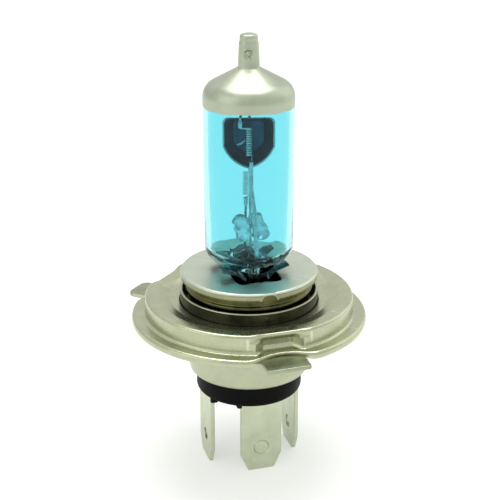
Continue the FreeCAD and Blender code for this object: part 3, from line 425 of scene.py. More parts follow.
def moulded_black_material():
    n = Nodes("moulded_black_look")
    n.set(specular=0.06)
    cloud = n.noise(500.0, 4.0, 0.6)
    grit = n.noise(7000.0, 3.0, 0.7)
    colour = n.mix(n.spread(cloud, 0.0, 1.0), (0.0015, 0.0016, 0.0014), (0.004, 0.0042, 0.0038))
    colour = n.mix(n.math("MULTIPLY", n.edge_wear_and_highlight(), 0.4), colour, (0.03, 0.03, 0.03))
    n.plug(colour, n.spread(cloud, 0.38, 0.6), n.bump(grit, 1.5e-5, 0.5))
    return n.material


def shield_material():
    n = Nodes("shield_look")
    n.set(metallic=0.55, specular=0.15)
    cloud = n.noise(700.0, 5.0, 0.6, distortion=0.8)
    grain = n.noise(6000.0, 3.0, 0.6, stretch=(1.0, 1.0, 0.15))
    colour = n.mix(n.spread(cloud, 0.0, 1.0), (0.003, 0.045, 0.085), (0.012, 0.10, 0.16))
    # Painted highlight: the shield's edges and creases are coloured pale grey as bright lines.
    colour = n.mix(n.math("MULTIPLY", n.edge_wear_and_highlight(0.505, 0.53), 0.9), colour, (0.55, 0.58, 0.58))
    n.plug(colour, n.spread(cloud, 0.26, 0.42), n.bump(grain, 8e-6, 0.4))
    return n.material


def wire_material(name, light, dark, rough=(0.18, 0.32)):
    n = Nodes(name)
    n.set(metallic=1.0)
    drawn = n.noise(5000.0, 3.0, 0.6, stretch=(1.0, 1.0, 0.12))
    cloud = n.noise(900.0, 3.0, 0.6)
    colour = n.mix(n.spread(cloud, 0.0, 1.0), dark, light)
    n.plug(colour, n.spread(drawn, rough[0], rough[1]), n.bump(drawn, 6e-6, 0.4))
    return n.material


def floor_material():
    n = Nodes("floor_look")
    cloud = n.noise(3.0, 3.0, 0.5)
    colour = n.mix(n.spread(cloud, 0.0, 1.0), (0.505, 0.52, 0.50), (0.515, 0.525, 0.51))
    n.shader.inputs["Emission Color"].default_value = (0.98, 1.0, 0.96, 1.0)
    n.shader.inputs["Emission Strength"].default_value = 0.47
    n.plug(colour, n.spread(cloud, 0.75, 0.85), n.bump(n.noise(300.0, 2.0), 2e-5, 0.1))
    return n.material


SATIN = plated_metal("satin_nickel_look", (0.46, 0.485, 0.335), (0.41, 0.43, 0.295), (0.24, 0.30),
                     grain_depth=4e-7, speck_tone=0.94)
# Lug plate: a darker copy of the plated metal, painted shade for the flange's shadow over the lugs.
SHADED_LUG_METAL = plated_metal("lug_painted_shade_look", (0.34, 0.36, 0.25), (0.28, 0.30, 0.20), (0.26, 0.32), grain_depth=4e-7,
                   speck_tone=0.93, edge_weight=0.2)
SHELL = plated_metal("shell_look", (0.44, 0.465, 0.335), (0.385, 0.405, 0.285), (0.26, 0.36),
                     grain=(1.0, 1.0, 8.0), grain_depth=8e-7, speck_tone=0.8)
# Collar band: near-black painted shade on the shell's collar face under the disc, for the disc's shadow and
# its dark reflection.
COLLAR_PAINTED_SHADE = plated_metal("collar_painted_shade_look", (0.055, 0.052, 0.036), (0.022, 0.022, 0.015), (0.25, 0.4),
                         grain=(1.0, 1.0, 8.0), edge=(0.5, 0.5, 0.42))
MIRROR = plated_metal("polished_nickel_look", (0.52, 0.57, 0.475), (0.475, 0.525, 0.435), (0.35, 0.40),
                      grain_depth=1e-6)
# Disc rim: a darker copy of the disc's polished metal, painted shade on the rim's outer face.
DISC_RIM_SHADE = plated_metal("disc_rim_painted_shade_look", (0.33, 0.335, 0.215), (0.24, 0.245, 0.15), (0.2, 0.28), grain_depth=6e-7)
OLIVE = plated_metal("sleeve_look", (0.13, 0.125, 0.055), (0.07, 0.07, 0.03), (0.14, 0.22), grain_depth=1e-6)
SPRING = plated_metal("spring_steel_look", (0.13, 0.135, 0.13), (0.03, 0.032, 0.03), (0.10, 0.22))
BLADE = plated_metal("tinned_blade_look", (0.55, 0.59, 0.44), (0.48, 0.515, 0.38), (0.28, 0.40),
                     grain=(6.0, 6.0, 0.5), grain_depth=4e-6)
GLASS = tinted_glass_material()
QUARTZ = clear_glass_material()
COAT = silver_coat_material()
BLACK = moulded_black_material()
SHIELD = shield_material()
MOLYBDENUM = wire_material("molybdenum_look", (0.62, 0.64, 0.64), (0.40, 0.42, 0.42))
TUNGSTEN = wire_material("tungsten_look", (0.95, 0.96, 0.96), (0.78, 0.80, 0.80), (0.25, 0.35))
NICKEL_WIRE = wire_material("nickel_wire_look", (0.66, 0.66, 0.60), (0.50, 0.50, 0.45))


# ---------------------------------------------------------------- burner glass and coat

GLASS_R, WALL = 8.0, 0.85
COAT_EDGE = 39.3
TIP_R, TIP_TOP = 1.55, 51.45
BOWL_START, BOWL_BOTTOM = 13.2, 10.0
SEAL_HALF_X, SEAL_HALF_Y, SEAL_BOTTOM = 2.0, 5.7, -3.0
FACING = math.radians(-108.0)


def dome_profile(out):
    """Outer side of the dome and the exhaust tip, moved out by a small distance."""
    return rounded_path([
        ((GLASS_R + out, 30.0), 0), ((GLASS_R + out, 42.45), 3.0), ((1.86 + out, 45.78 + out), 0.5),
        ((TIP_R + 0.1 + out, 50.0), 0.8), ((TIP_R + out, TIP_TOP - 0.9), 0.3),
        ((TIP_R - 0.1 + out, TIP_TOP + out), 0.8), ((0.0, TIP_TOP + out), 0)], False, 14)


def refine(profile, step):
    """Adds points along a profile's long runs."""
    points = [profile[0]]
    for p, q in zip(profile, profile[1:]):
        count = max(1, int(np.linalg.norm(q - p) / step))
        points.extend(p + (q - p) * k / count for k in range(1, count + 1))
    return np.array(points)


def tip_details(radius, height, turn):
    """A round dimple on the tip's front and a faint groove under its end."""
    across = (np.mod(turn - FACING + math.pi, 2 * math.pi) - math.pi) * radius
    away = np.sqrt(across ** 2 + (height - 48.2) ** 2)
    facing = np.abs(np.mod(turn - FACING + math.pi, 2 * math.pi) - math.pi) < 1.5
    on_tip = (height > 46.4) & (height < 50.4) & facing
    cup = np.where(on_tip, 0.40 * smooth_step(0.92, 0.55, away) - 0.26 * np.exp(-(away / 0.38) ** 2), 0.0)
    rim = np.where(on_tip, 0.06 * np.exp(-((away - 1.0) / 0.15) ** 2), 0.0)
    groove = 0.09 * np.exp(-((height - 50.35) / 0.16) ** 2)
    sway = 0.05 * np.sin(turn * 2 + 1.0) * smooth_step(45.8, 47.0, height) * (radius > 0.5)
    return np.maximum(radius - cup + rim - groove + sway * (radius > 0.5), 0.0) * (radius > 1e-9), height


def bowl_arc(inset, steps=28):
    """Arc of the bowl from its bottom out to the straight tube."""
    low = np.array([2.6, BOWL_BOTTOM + inset])
    high = np.array([GLASS_R - inset, BOWL_START + inset / 2])
    chord = high - low
    half = np.linalg.norm(chord) / 2
    radius = 4.6
    rise = math.sqrt(radius ** 2 - half ** 2)
    centre = (low + high) / 2 + np.array([-chord[1], chord[0]]) / (2 * half) * rise
    first = math.atan2(*(low - centre)[::-1])
    last = math.atan2(*(high - centre)[::-1])
    angles = np.linspace(first, last, steps)
    return np.column_stack([centre[0] + radius * np.cos(angles), centre[1] + radius * np.sin(angles)])


def glass_outside():
    """The tube with its bowl running into the flat press seal."""
    seal = [(0.0, z) for z in np.linspace(SEAL_BOTTOM, 8.6, 24)]
    neck = [(2.6 * float(smooth_step(8.6, 10.0, z)), z) for z in np.linspace(8.8, 9.9, 8)]
    bowl = bowl_arc(0.0)
    top = refine(dome_profile(0.0), 0.6)
    profile = np.concatenate([np.array(seal + neck), bowl, top])

    def press(radius, height, turn):
        flat_x, flat_y = np.abs(np.cos(turn)) / SEAL_HALF_X, np.abs(np.sin(turn)) / SEAL_HALF_Y
        rect = (flat_x ** 10 + flat_y ** 10) ** -0.1
        ripple = 1.0 + 0.02 * np.sin(height * 2.1 + 1.0) * np.cos(turn * 2)
        rect = rect * ripple * (1.0 - 0.25 * smooth_step(9.0, 12.5, height))
        weight = 1.0 - smooth_step(11.2, 12.6, height)
        sharp = 5.0
        joined = (np.maximum(radius, 0.01) ** sharp + rect ** sharp) ** (1.0 / sharp)
        outer, height = tip_details(radius + (joined - radius) * weight, height, turn)
        under_coat = 0.15 * smooth_step(46.0, 46.5, height) * (radius > 0.6)
        return outer - under_coat, height

    shape = spin(profile, 240, False, press)
    bottom = list(range(0, 240 * len(profile), len(profile)))
    return shape[0], shape[1] + [tuple(reversed(bottom))]


def glass_inside():
    """The gas space, with the uneven bottom that pressing leaves."""
    bowl = bowl_arc(WALL)
    floor = np.column_stack([np.linspace(0.0, 2.5, 14), np.full(14, BOWL_BOTTOM + WALL)])
    bore = GLASS_R - WALL
    top = rounded_path([((bore, 30.0), 0), ((bore, 41.9), 2.6), ((0.0, 44.7), 0)], False, 12)
    profile = np.concatenate([floor, bowl, refine(top, 1.0)])

    def uneven(radius, height, turn):
        low = 1.0 - smooth_step(11.4, 13.2, height)
        ridge = 0.9 * np.exp(-(radius * np.cos(turn) / 1.5) ** 2)
        ridge = ridge * (1.0 - smooth_step(3.5, 5.8, np.abs(radius * np.sin(turn))))
        wave = 0.16 * np.sin(radius * 2.2 + 2.0 * np.cos(turn * 3 + 0.6)) + 0.10 * np.cos(turn * 5 + radius)
        return radius, height + low * (ridge + wave * smooth_step(0.2, 1.5, radius))

    return spin(profile, 240, False, uneven)


def make_glass():
    shape = merged([oriented(glass_outside()), oriented(glass_inside(), outward=False)])
    return build("glass_bulb", shape, [GLASS], ["glass_envelope"],
                 sharp=50, recalculate=False)


def make_coat():
    profile = refine(dome_profile(0.035), 0.12)
    start = next(i for i, p in enumerate(profile) if p[1] > COAT_EDGE)
    outside = profile[start:]
    inside = refine(dome_profile(0.005), 0.4)[::-1]
    inside = inside[[i for i, p in enumerate(inside) if p[1] > COAT_EDGE]]

    def shaped(radius, height, turn):
        radius, height = tip_details(radius, height, turn)
        edge = 0.10 * np.sin(turn * 3 + 0.7) + 0.05 * np.sin(turn * 11)
        return radius, height + edge * (1.0 - smooth_step(COAT_EDGE, 40.2, height))

    shape = spin(np.concatenate([outside, inside]), 256, True, shaped)
    return build("silver_cap", shape, [COAT], ["cap_coating"], sharp=60)


# ---------------------------------------------------------------- shield, coils and wires

SHIELD_TURN = -16.0
SHIELD_HALF, SHIELD_TOP, SHIELD_BEND, SHIELD_FOOT = 4.5, 37.0, 31.9, 27.9
SHIELD_FRONT_Y = -0.5
COIL_WIRE_R, LEAD_R, POST_R = 0.11, 0.25, 0.38
DIPPED_COIL = (30.0, 35.0)
MAIN_COIL = (22.8, 27.2)
FOIL_TOP = 4.3


def shield_loop(inset, count=24):
    """Front view of the shield at some distance inside its edge, as (x, z) points."""
    half = SHIELD_HALF - inset
    top = SHIELD_TOP - inset * 0.75
    bend = SHIELD_BEND
    tip = SHIELD_FOOT + inset * 1.05
    radius = 6.3 - inset * 0.4
    chord = np.array([half, bend]) - np.array([0.0, tip])
    length = np.linalg.norm(chord)
    rise = math.sqrt(max(radius ** 2 - (length / 2) ** 2, 0.0))
    centre = np.array([half, bend + tip]) / 2.0 + np.array([-chord[1], chord[0]]) / length * rise
    first = math.atan2(tip - centre[1], 0.0 - centre[0])
    last = math.atan2(bend - centre[1], half - centre[0])
    angles = np.linspace(first, last, count)
    foot = np.column_stack([centre[0] + radius * np.cos(angles), centre[1] + radius * np.sin(angles)])
    turn = max(1.0 - inset * 0.2, 0.4)
    corner = rounded_path([((half, bend), 0), ((half, top), turn), ((0.0, top), 0)], False, 10)
    side = np.linspace(corner[0], corner[1], 9)
    lid = np.linspace(corner[-2], corner[-1], 9)
    right = np.concatenate([foot, side[1:], corner[2:-2], lid])
    left = right[1:-1][::-1] * np.array([-1.0, 1.0])
    return np.concatenate([right, left])


def make_shield():
    """A pan with a thin rim, sloping walls and an embossed floor."""
    stages = [(0.0, 0.0), (-0.08, 0.12), (0.0, 0.25), (0.5, 1.25), (1.15, 2.55), (1.3, 2.95), (1.6, 3.18),
              (2.1, 3.2), (3.0, 3.2)]
    inner = [(3.0, 2.95), (2.1, 2.95), (1.78, 2.9), (1.55, 2.6), (1.3, 2.2), (0.7, 1.0), (0.28, 0.2),
             (0.2, 0.0), (0.1, -0.06)]
    rows = []
    for inset, depth in stages + inner:
        loop = shield_loop(inset)
        rows.append(np.column_stack([loop[:, 0], np.full(len(loop), SHIELD_FRONT_Y + depth), loop[:, 1]]))
    size = len(rows[0])
    points, faces = grid_shape(np.array(rows), True, True)
    last_outer, first_inner = len(stages) - 1, len(stages)
    kept = [face for i, face in enumerate(faces) if i // size != last_outer]
    floor_centres = np.array([rows[last_outer].mean(0), rows[first_inner].mean(0)])
    fans = []
    for index, row in enumerate((last_outer, first_inner)):
        for k in range(size):
            fans.append((row * size + k, row * size + (k + 1) % size, len(points) + index))
    pan = moved((np.concatenate([points, floor_centres]), kept + fans), SHIELD_TURN)
    return build("glare_shield_pan", pan, [SHIELD], ["glare_shield"], sharp=32)


def beside_shield(*points):
    """Points turned about the axis with the shield."""
    return [tuple(p) for p in moved((np.array(points, float), []), SHIELD_TURN)[0]]


def helix(centre_x, bottom, top, turns, radius, wobble=0.0):
    count = int(turns * 28)
    t = np.linspace(0.0, 1.0, count)
    angle = t * turns * 2 * math.pi
    reach = radius + wobble * np.sin(angle * 0.37)
    x, y = centre_x + reach * np.cos(angle), reach * np.sin(angle)
    return np.column_stack([x, y, bottom + (top - bottom) * t])


def curve_through(points, steps=10):
    """A smooth path that passes through each point."""
    points = np.asarray(points, float)
    padded = np.concatenate([[2 * points[0] - points[1]], points, [2 * points[-1] - points[-2]]])
    path = []
    for a, b, c, d in zip(padded, padded[1:], padded[2:], padded[3:]):
        for k in range(steps):
            t = k / steps
            path.append(0.5 * (2 * b + (c - a) * t + (2 * a - 5 * b + 4 * c - d) * t * t
                               + (3 * b - a - 3 * c + d) * t ** 3))
    path.append(points[-1])
    return np.array(path)


def wire_run(corners, radius, bend=1.2, around=14):
    path = rounded_path([(p, bend) for p in corners], False, 10)
    return tube(refine(path, 0.4), radius, around)


def make_coils():
    """Each filament is a helix with a tail at either end."""
    low, high = DIPPED_COIL
    dipped = [
        helix(0.0, low, high, 12, 0.55),
        curve_through([(0.55, 0.0, low), (0.5, -0.45, low - 0.25), (0.4, -0.85, low - 0.55)]),
        curve_through([(0.55, 0.0, high), (0.1, -0.45, high + 0.15), (-0.7, -0.75, high + 0.2),
                       (-1.45, -0.8, high + 0.2)])]
    low, high = MAIN_COIL
    main = [
        helix(-0.55, low, high, 11, 0.5),
        curve_through([(-0.05, 0.0, low), (-0.2, -0.15, low - 0.2), (-0.5, -0.25, low - 0.3)]),
        curve_through([(-0.05, 0.0, high), (0.05, -0.2, high + 0.15), (0.12, -0.45, high + 0.3)])]
    for name, paths, node in (("dipped_coil", dipped, "low_beam_filament"),
                              ("main_coil", main, "high_beam_filament")):
        wires = merged([tube(path, COIL_WIRE_R, 10) for path in paths])
        build(name, moved(wires, SHIELD_TURN), [TUNGSTEN], [node])


def make_inner_wires():
    """The wires rise from the foils to what they carry."""
    top = beside_shield((0.405, -1.28, 24.2), (0.405, -0.88, 26.7), (0.405, -0.88, 29.3))
    foot = [(0.405, -3.4, FOIL_TOP), (0.405, -3.4, 12.6), (0.405, -2.2, 20.2)]
    post = wire_run(foot + top, POST_R, around=18)
    build("common_post", post, [MOLYBDENUM], ["common_lead"])
    top = beside_shield((0.15, 3.0, 27.3), (0.15, 3.0, 37.85), (-1.5, -0.8, 37.85), (-1.5, -0.8, 35.3))
    low = wire_run([(0.275, 0.0, FOIL_TOP), (0.275, 0.0, 20.0)] + top, LEAD_R)
    build("dipped_wire", low, [MOLYBDENUM], ["low_beam_lead"])
    top = beside_shield((-0.55, -0.25, 20.4), (-0.55, -0.25, 22.45))
    high = wire_run([(0.275, 3.4, FOIL_TOP), (0.275, 3.4, 12.6), (-0.025, 2.0, 19.2)] + top, LEAD_R)
    build("main_wire", high, [MOLYBDENUM], ["high_beam_lead"])
    bore, outside, length = LEAD_R, 0.42, 1.3
    corners = [((bore, 0.0), 0.04), ((outside, 0.0), 0.08), ((outside, length), 0.08),
               ((bore, length), 0.04)]
    profile = rounded_path(corners, True, 4)
    sleeve = spin(profile, 28)
    places = beside_shield((-1.5, -0.8, 35.3), (-0.55, -0.25, 21.15))
    crimps = merged([moved(sleeve, 0, place) for place in places])
    build("wire_crimps", crimps, [MOLYBDENUM], ["filament_crimps"])


def make_bridge():
    """Two fused quartz rods with rounded, slightly swollen ends, and the web between them."""
    tilt = math.radians(24.0)
    along = np.array([0.0, math.cos(tilt), math.sin(tilt)])
    middle = np.array([0.25, 0.0, 16.6])
    apart, half_rod, half_web = 1.62, 2.85, 2.3
    rods = []
    for side, phase in ((-1, 0.4), (1, 2.3)):
        t = np.linspace(-1.0, 1.0, 40)
        swell = 1.32 + 0.10 * np.cos(t * 5.0 + phase) + 0.06 * np.sin(t * 9.0 + phase)
        ends = np.sqrt(np.clip(1.0 - np.maximum(np.abs(t) - 0.72, 0.0) ** 2 / 0.28 ** 2, 0.0, 1.0))
        centre = middle + np.array([side * apart, 0.0, 0.0])
        path = centre + np.outer(t * half_rod, along)
        path[:, 0] += 0.12 * np.sin(t * 3.0 + phase)
        shape = tube(path, np.maximum(swell * ends, 0.001), 36, ends=False)
        points = np.array(shape[0])
        side_of = np.sign(points[:, 0] - centre[0])
        lumps = 0.07 * np.sin(points[:, 1] * 2.7 + points[:, 2] * 3.1 + phase) * side_of
        points[:, 0] += lumps
        rods.append((points, shape[1]))
    build("quartz_rods", merged(rods), [QUARTZ], ["quartz_bridge"], sharp=60)
    t = np.linspace(-1.0, 1.0, 24)
    width = np.sqrt(np.clip(1.0 - np.abs(t) ** 6, 0.0, 1.0))
    path = middle + np.outer(t * half_web, along)
    web = tube(path, np.maximum(0.62 * width, 0.001), 24, ends=False)
    build("quartz_web", web, [QUARTZ], (), sharp=60)


# ---------------------------------------------------------------- disc, sleeve and clamp

DISC_R, DISC_SKIRT_R, DISC_TOP, DISC_UNDER, DISC_FOOT = 12.5, 12.02, 8.85, 8.35, 7.6
SLOT_HALF_X, SLOT_HALF_Y = 4.2, 7.5


def make_disc():
    """The polished disc with its slot, rolled rim and stamped notch."""
    count = 720
    angles = np.linspace(0.0, 2 * math.pi, count, endpoint=False)
    boxy = 9
    along_x, along_y = np.abs(np.cos(angles)) / SLOT_HALF_X, np.abs(np.sin(angles)) / SLOT_HALF_Y
    slot = (along_x ** boxy + along_y ** boxy) ** (-1.0 / boxy)
    rows = []
    for a, inner in zip(angles, slot):
        across = (((a + math.pi / 2 + math.pi) % (2 * math.pi)) - math.pi) * DISC_R
        arch = max(0.0, 1.0 - (across / 1.25) ** 2) ** 0.5 * 0.9
        burr = 0.16 * math.exp(-((abs(across) - 1.55) / 0.22) ** 2)
        foot = DISC_FOOT + arch - burr
        section = rounded_path([
            ((inner, DISC_TOP), 0.14), ((DISC_R, DISC_TOP), 0.6), ((DISC_R + burr * 0.8, foot), 0.12),
            ((DISC_SKIRT_R, foot), 0.12), ((DISC_SKIRT_R, DISC_UNDER), 0.3), ((inner, DISC_UNDER), 0.14)],
            True, 7)
        rows.append(swung_to(section, a))

    # The rim's outer face below its top edge takes the darker copy: painted shade.
    def rim(centre, normal):
        outside = math.hypot(centre[0], centre[1]) > 12.2
        return 1 if outside and centre[2] < 8.5 else 0

    return build("mirror_disc", grid_shape(np.array(rows)), [MIRROR, DISC_RIM_SHADE], ["mounting_disc"],
                 sharp=40, material_of=rim)


def make_sleeve():
    """The skirt: a bead under its upper part, then a taper into the can."""
    sheet, upper, bead, lower, bottom = 0.5, 11.2, 11.55, 10.55, -3.6
    profile = rounded_path([
        ((upper - sheet, DISC_UNDER), 0.1), ((upper, DISC_UNDER), 0.1), ((upper, 6.1), 0.3),
        ((bead, 5.8), 0.25), ((bead, 5.3), 0.25), ((upper - 0.1, 4.4), 0.5), ((lower, 0.9), 0.8),
        ((lower, bottom), 0.15), ((lower - sheet, bottom), 0.15), ((lower - sheet, 0.9), 0.8),
        ((upper - sheet, 5.4), 0.5)], True, 6)
    return build("inner_sleeve", spin(profile, 240), [OLIVE], ["burner_sleeve"], sharp=40)


def strip(path, width, thick, axis):
    """A bent strip of constant width along a path, its width along one axis."""
    path = np.asarray(path, float)
    tangents = np.gradient(path, axis=0)
    tangents /= np.linalg.norm(tangents, axis=1)[:, None]
    axis = np.array(axis, float)
    w, t = width / 2, thick / 2
    rows = []
    for place, tangent in zip(path, tangents):
        normal = np.cross(tangent, axis)
        normal /= np.linalg.norm(normal)
        outline = rounded_path([((-w, -t), thick * 0.4), ((w, -t), thick * 0.4),
                                ((w, t), thick * 0.4), ((-w, t), thick * 0.4)], True, 3)
        rows.append(place + outline[:, :1] * axis + outline[:, 1:] * normal)
    points, faces = grid_shape(np.array(rows), False, True)
    size = len(rows[0])
    last = (len(rows) - 1) * size
    faces = faces + [tuple(range(size)), tuple(range(last, last + size))]
    return points, faces


def make_clamp():
    """The spring frame: plates beside the seal, bent fingers and arms out to the sleeve."""
    shapes = []
    for side in (-1, 1):
        x = side * 2.2
        shapes.append(strip([(x, 0, z) for z in np.linspace(0.0, 8.6, 12)], 10.6, 0.35, (0, 1, 0)))
        for place in (-1, 1):
            y = place * 3.5
            path = curve_through([(x, y, 6.6), (x + side * 0.15, y, 8.0), (x + side * 1.2, y, 9.3),
                                  (x + side * 2.9, y, 10.0), (x + side * 4.0, y, 10.35)], 8)
            shapes.append(strip(path, 2.2, 0.3, (0, 1, 0)))
    for place in (-1, 1):
        y = place * 5.95
        shapes.append(strip([(0, y, z) for z in np.linspace(0.0, 8.2, 12)], 4.4, 0.35, (1, 0, 0)))
    for side in (-1, 1):
        path = curve_through([(side * 2.2, 0, 0.6), (side * 2.9, 0, 0.2), (side * 6.0, 0, 0.17),
                              (side * 9.9, 0, 0.17)], 8)
        shapes.append(strip(path, 4.4, 0.35, (0, 1, 0)))
    return build("spring_clamp", merged(shapes), [SPRING], ["pinch_clamp"], sharp=35)


# ---------------------------------------------------------------- ring, lugs and shell

LUG_TURNS = [math.radians(a) for a in (-90.0, 45.0, 135.0)]
WALL_R, FLANGE_R = 19.0, 21.5
LUG_RING_R, LUG_SHEET = 20.2, 0.7
RECESS_R, BROW_R, RING_BORE, RING_TOP, RING_SHEET = 16.9, 17.75, 12.68, 4.08, 0.6
HOLLOW_R, HOLLOW_DEPTH = 8.0, 2.65
SHELL_R, SHELL_SHEET, SHELL_BOTTOM = 11.1, 0.5, -10.5
COLLAR_R, COLLAR_TOP = 12.6, 5.2
# half width, corner radius and distance of the end from the axis
WIDE_LUG = (3.9, 0.45, 23.8)
NARROW_LUG = (3.1, 1.5, 24.8)


def from_lug(angle):
    """Signed angle from the nearest lug."""
    gaps = [((angle - lug + math.pi) % (2 * math.pi)) - math.pi for lug in LUG_TURNS]
    return min(gaps, key=abs)


def flange_edge(count):
    """Radius of the flange's edge round the ring, hollowed at each lug and smoothed."""
    angles = np.linspace(0.0, 2 * math.pi, count, endpoint=False)
    edge = np.full(count, FLANGE_R)
    centre = FLANGE_R - HOLLOW_DEPTH + HOLLOW_R
    for i, a in enumerate(angles):
        gap = from_lug(a)
        side = centre * math.sin(gap)
        if abs(side) < HOLLOW_R:
            edge[i] = min(edge[i], centre * math.cos(gap) - math.sqrt(HOLLOW_R ** 2 - side ** 2))
    reach = 20
    window = np.hanning(2 * reach + 1)
    window /= window.sum()
    padded = np.concatenate([edge[-reach:], edge, edge[:reach]])
    return angles, np.convolve(padded, window, "valid")


def make_ring():
    """The pressed ring: dished top, straight wall with a recess above each lug, rolled flange."""
    angles, edges = flange_edge(1080)
    rows = []
    for a, edge in zip(angles, edges):
        gap = from_lug(a)
        across = abs(WALL_R * math.sin(gap))
        pressed = float(1.0 - smooth_step(2.7, 4.5, across))
        spread = float(1.0 - smooth_step(2.6, 6.2, across))
        wall = WALL_R + (RECESS_R / math.cos(gap) - WALL_R) * pressed
        brow = WALL_R + (BROW_R / math.cos(gap) - WALL_R) * spread
        back = float(smooth_step(0.0, 2.6, FLANGE_R - edge))
        roll = 1.25 * (1.0 - back) + 0.25 * back
        lip = -LUG_SHEET * (1.0 - back)
        top = RING_TOP - 0.12 * pressed - 0.10 * spread
        inner_edge, inner_wall = edge - RING_SHEET, wall - RING_SHEET
        section = rounded_path([
            ((RING_BORE, 2.98), 0.2), ((14.2, 3.05), 1.2), ((brow - 2.4, top - 0.08), 1.5),
            ((brow, top), 1.15 - 0.35 * pressed), ((brow, 2.95 + 0.3 * pressed), max(0.3 * pressed, 0.02)),
            ((wall, 2.6 - 0.2 * pressed), max(0.3 * pressed, 0.02)),
            ((wall, RING_SHEET), 0.55 + 0.5 * pressed), ((edge, RING_SHEET), roll), ((edge, lip), 0.22),
            ((inner_edge, lip), 0.22), ((inner_edge, 0.02), max(roll - RING_SHEET, 0.1)),
            ((inner_wall, 0.02), 0.9), ((inner_wall, 3.4), 0.6), ((RING_BORE, 2.4), 0.2)], True, 8)
        rows.append(swung_to(section, a))
    return build("pressed_ring", grid_shape(np.array(rows)), [SATIN], ["prefocus_ring"],
                 sharp=50)


def lug_loop():
    """Outline of the plate with its three lugs, as points round the axis."""
    base = LUG_RING_R
    points = []
    for index, turn in enumerate(LUG_TURNS):
        half, corner, tip = WIDE_LUG if index == 0 else NARROW_LUG
        root = math.sqrt(base ** 2 - half ** 2)
        local = rounded_path([((root, -half), 0), ((tip, -half), corner), ((tip, half), corner),
                              ((root, half), 0)], False, 12)
        local = refine(local, 0.3)
        c, s = math.cos(turn), math.sin(turn)
        points.append(local @ np.array([[c, s], [-s, c]]))
        following = LUG_TURNS[(index + 1) % 3]
        next_half = (WIDE_LUG if (index + 1) % 3 == 0 else NARROW_LUG)[0]
        first = turn + math.asin(half / base)
        last = following - math.asin(next_half / base)
        if last < first:
            last += 2 * math.pi
        arc = np.linspace(first, last, 120)[1:-1]
        points.append(np.column_stack([base * np.cos(arc), base * np.sin(arc)]))
    return np.concatenate(points)


def make_lugs():
    outer = lug_loop()
    turns = np.arctan2(outer[:, 1], outer[:, 0])
    inner = (SHELL_R + 0.05) * np.column_stack([np.cos(turns), np.sin(turns)])
    shape = plate(outer, inner, -LUG_SHEET, 0.0, 0.14, rings=10)
    return build("lug_collar", shape, [SHADED_LUG_METAL], ["lug_plate"], sharp=40)


def make_shell():
    """The can: a flared collar above, and a lip turned in under the insulator's shoulder."""
    bore, collar_bore, lip_bore = SHELL_R - SHELL_SHEET, COLLAR_R - SHELL_SHEET, 9.86
    lip_top = SHELL_BOTTOM + SHELL_SHEET
    profile = rounded_path([
        ((SHELL_R, 0.2), 0.7), ((COLLAR_R, 1.6), 0.7), ((COLLAR_R, COLLAR_TOP), 0.18),
        ((collar_bore, COLLAR_TOP), 0.18), ((collar_bore, 1.85), 0.6), ((bore, 0.45), 0.6),
        ((bore, lip_top), 0.3), ((lip_bore, lip_top), 0.1), ((lip_bore, SHELL_BOTTOM), 0.1),
        ((SHELL_R, SHELL_BOTTOM), 0.75)], True, 9)

    # The collar's outer face between the ring and the disc is painted near-black shade.
    def collar_in_shade(centre, normal):
        outside = math.hypot(centre[0], centre[1]) > 12.45
        return 1 if outside and 2.5 < centre[2] < 5.02 else 0

    return build("shell_can", spin(refine(np.concatenate([profile, profile[:1]]), 0.35)[:-1], 240),
                 [SHELL, COLLAR_PAINTED_SHADE], ["base_shell"], sharp=45, material_of=collar_in_shade)


# ---------------------------------------------------------------- insulator and blades

INSULATOR_R, INSULATOR_BOTTOM = 9.8, -14.75
BLADE_HALF, BLADE_BOTTOM, BLADE_TOP, BLADE_HOLE_Z = 3.9, -28.75, -12.0, -24.2
BLADE_HALF_SHEET = 0.4
FRONT_BLADE_Y, SIDE_BLADE_X = -7.6, 8.2


def make_insulator():
    profile = rounded_path([
        ((0.0, -13.15), 0), ((3.6, -13.15), 0.3), ((4.6, INSULATOR_BOTTOM), 0.3),
        ((INSULATOR_R, INSULATOR_BOTTOM), 0.9), ((INSULATOR_R, -10.05), 0.1), ((10.5, -10.0), 0.1),
        ((10.5, -6.0), 0.3), ((0.0, -6.0), 0)], False, 8)
    body = spin(refine(profile, 0.5), 240, False)
    shapes = [body]
    corners = [((-0.5, -0.7), 0.3), ((0.5, -0.7), 0.3), ((0.5, 0.7), 0.3), ((-0.5, 0.7), 0.3)]
    corner = rounded_path(corners, True, 5)
    for turn, reach, side in ((0.0, -FRONT_BLADE_Y, -1), (-90.0, SIDE_BLADE_X, 1), (90.0, SIDE_BLADE_X, 1)):
        nub = plate(corner, None, -0.7, 0.3, 0.25, rings=3)
        shapes.append(moved(moved(nub, 0, (side * 4.1, -reach + 0.25, INSULATOR_BOTTOM)), turn))
    return build("black_insulator", merged(shapes), [BLACK], ["terminal_insulator"],
                 sharp=40)


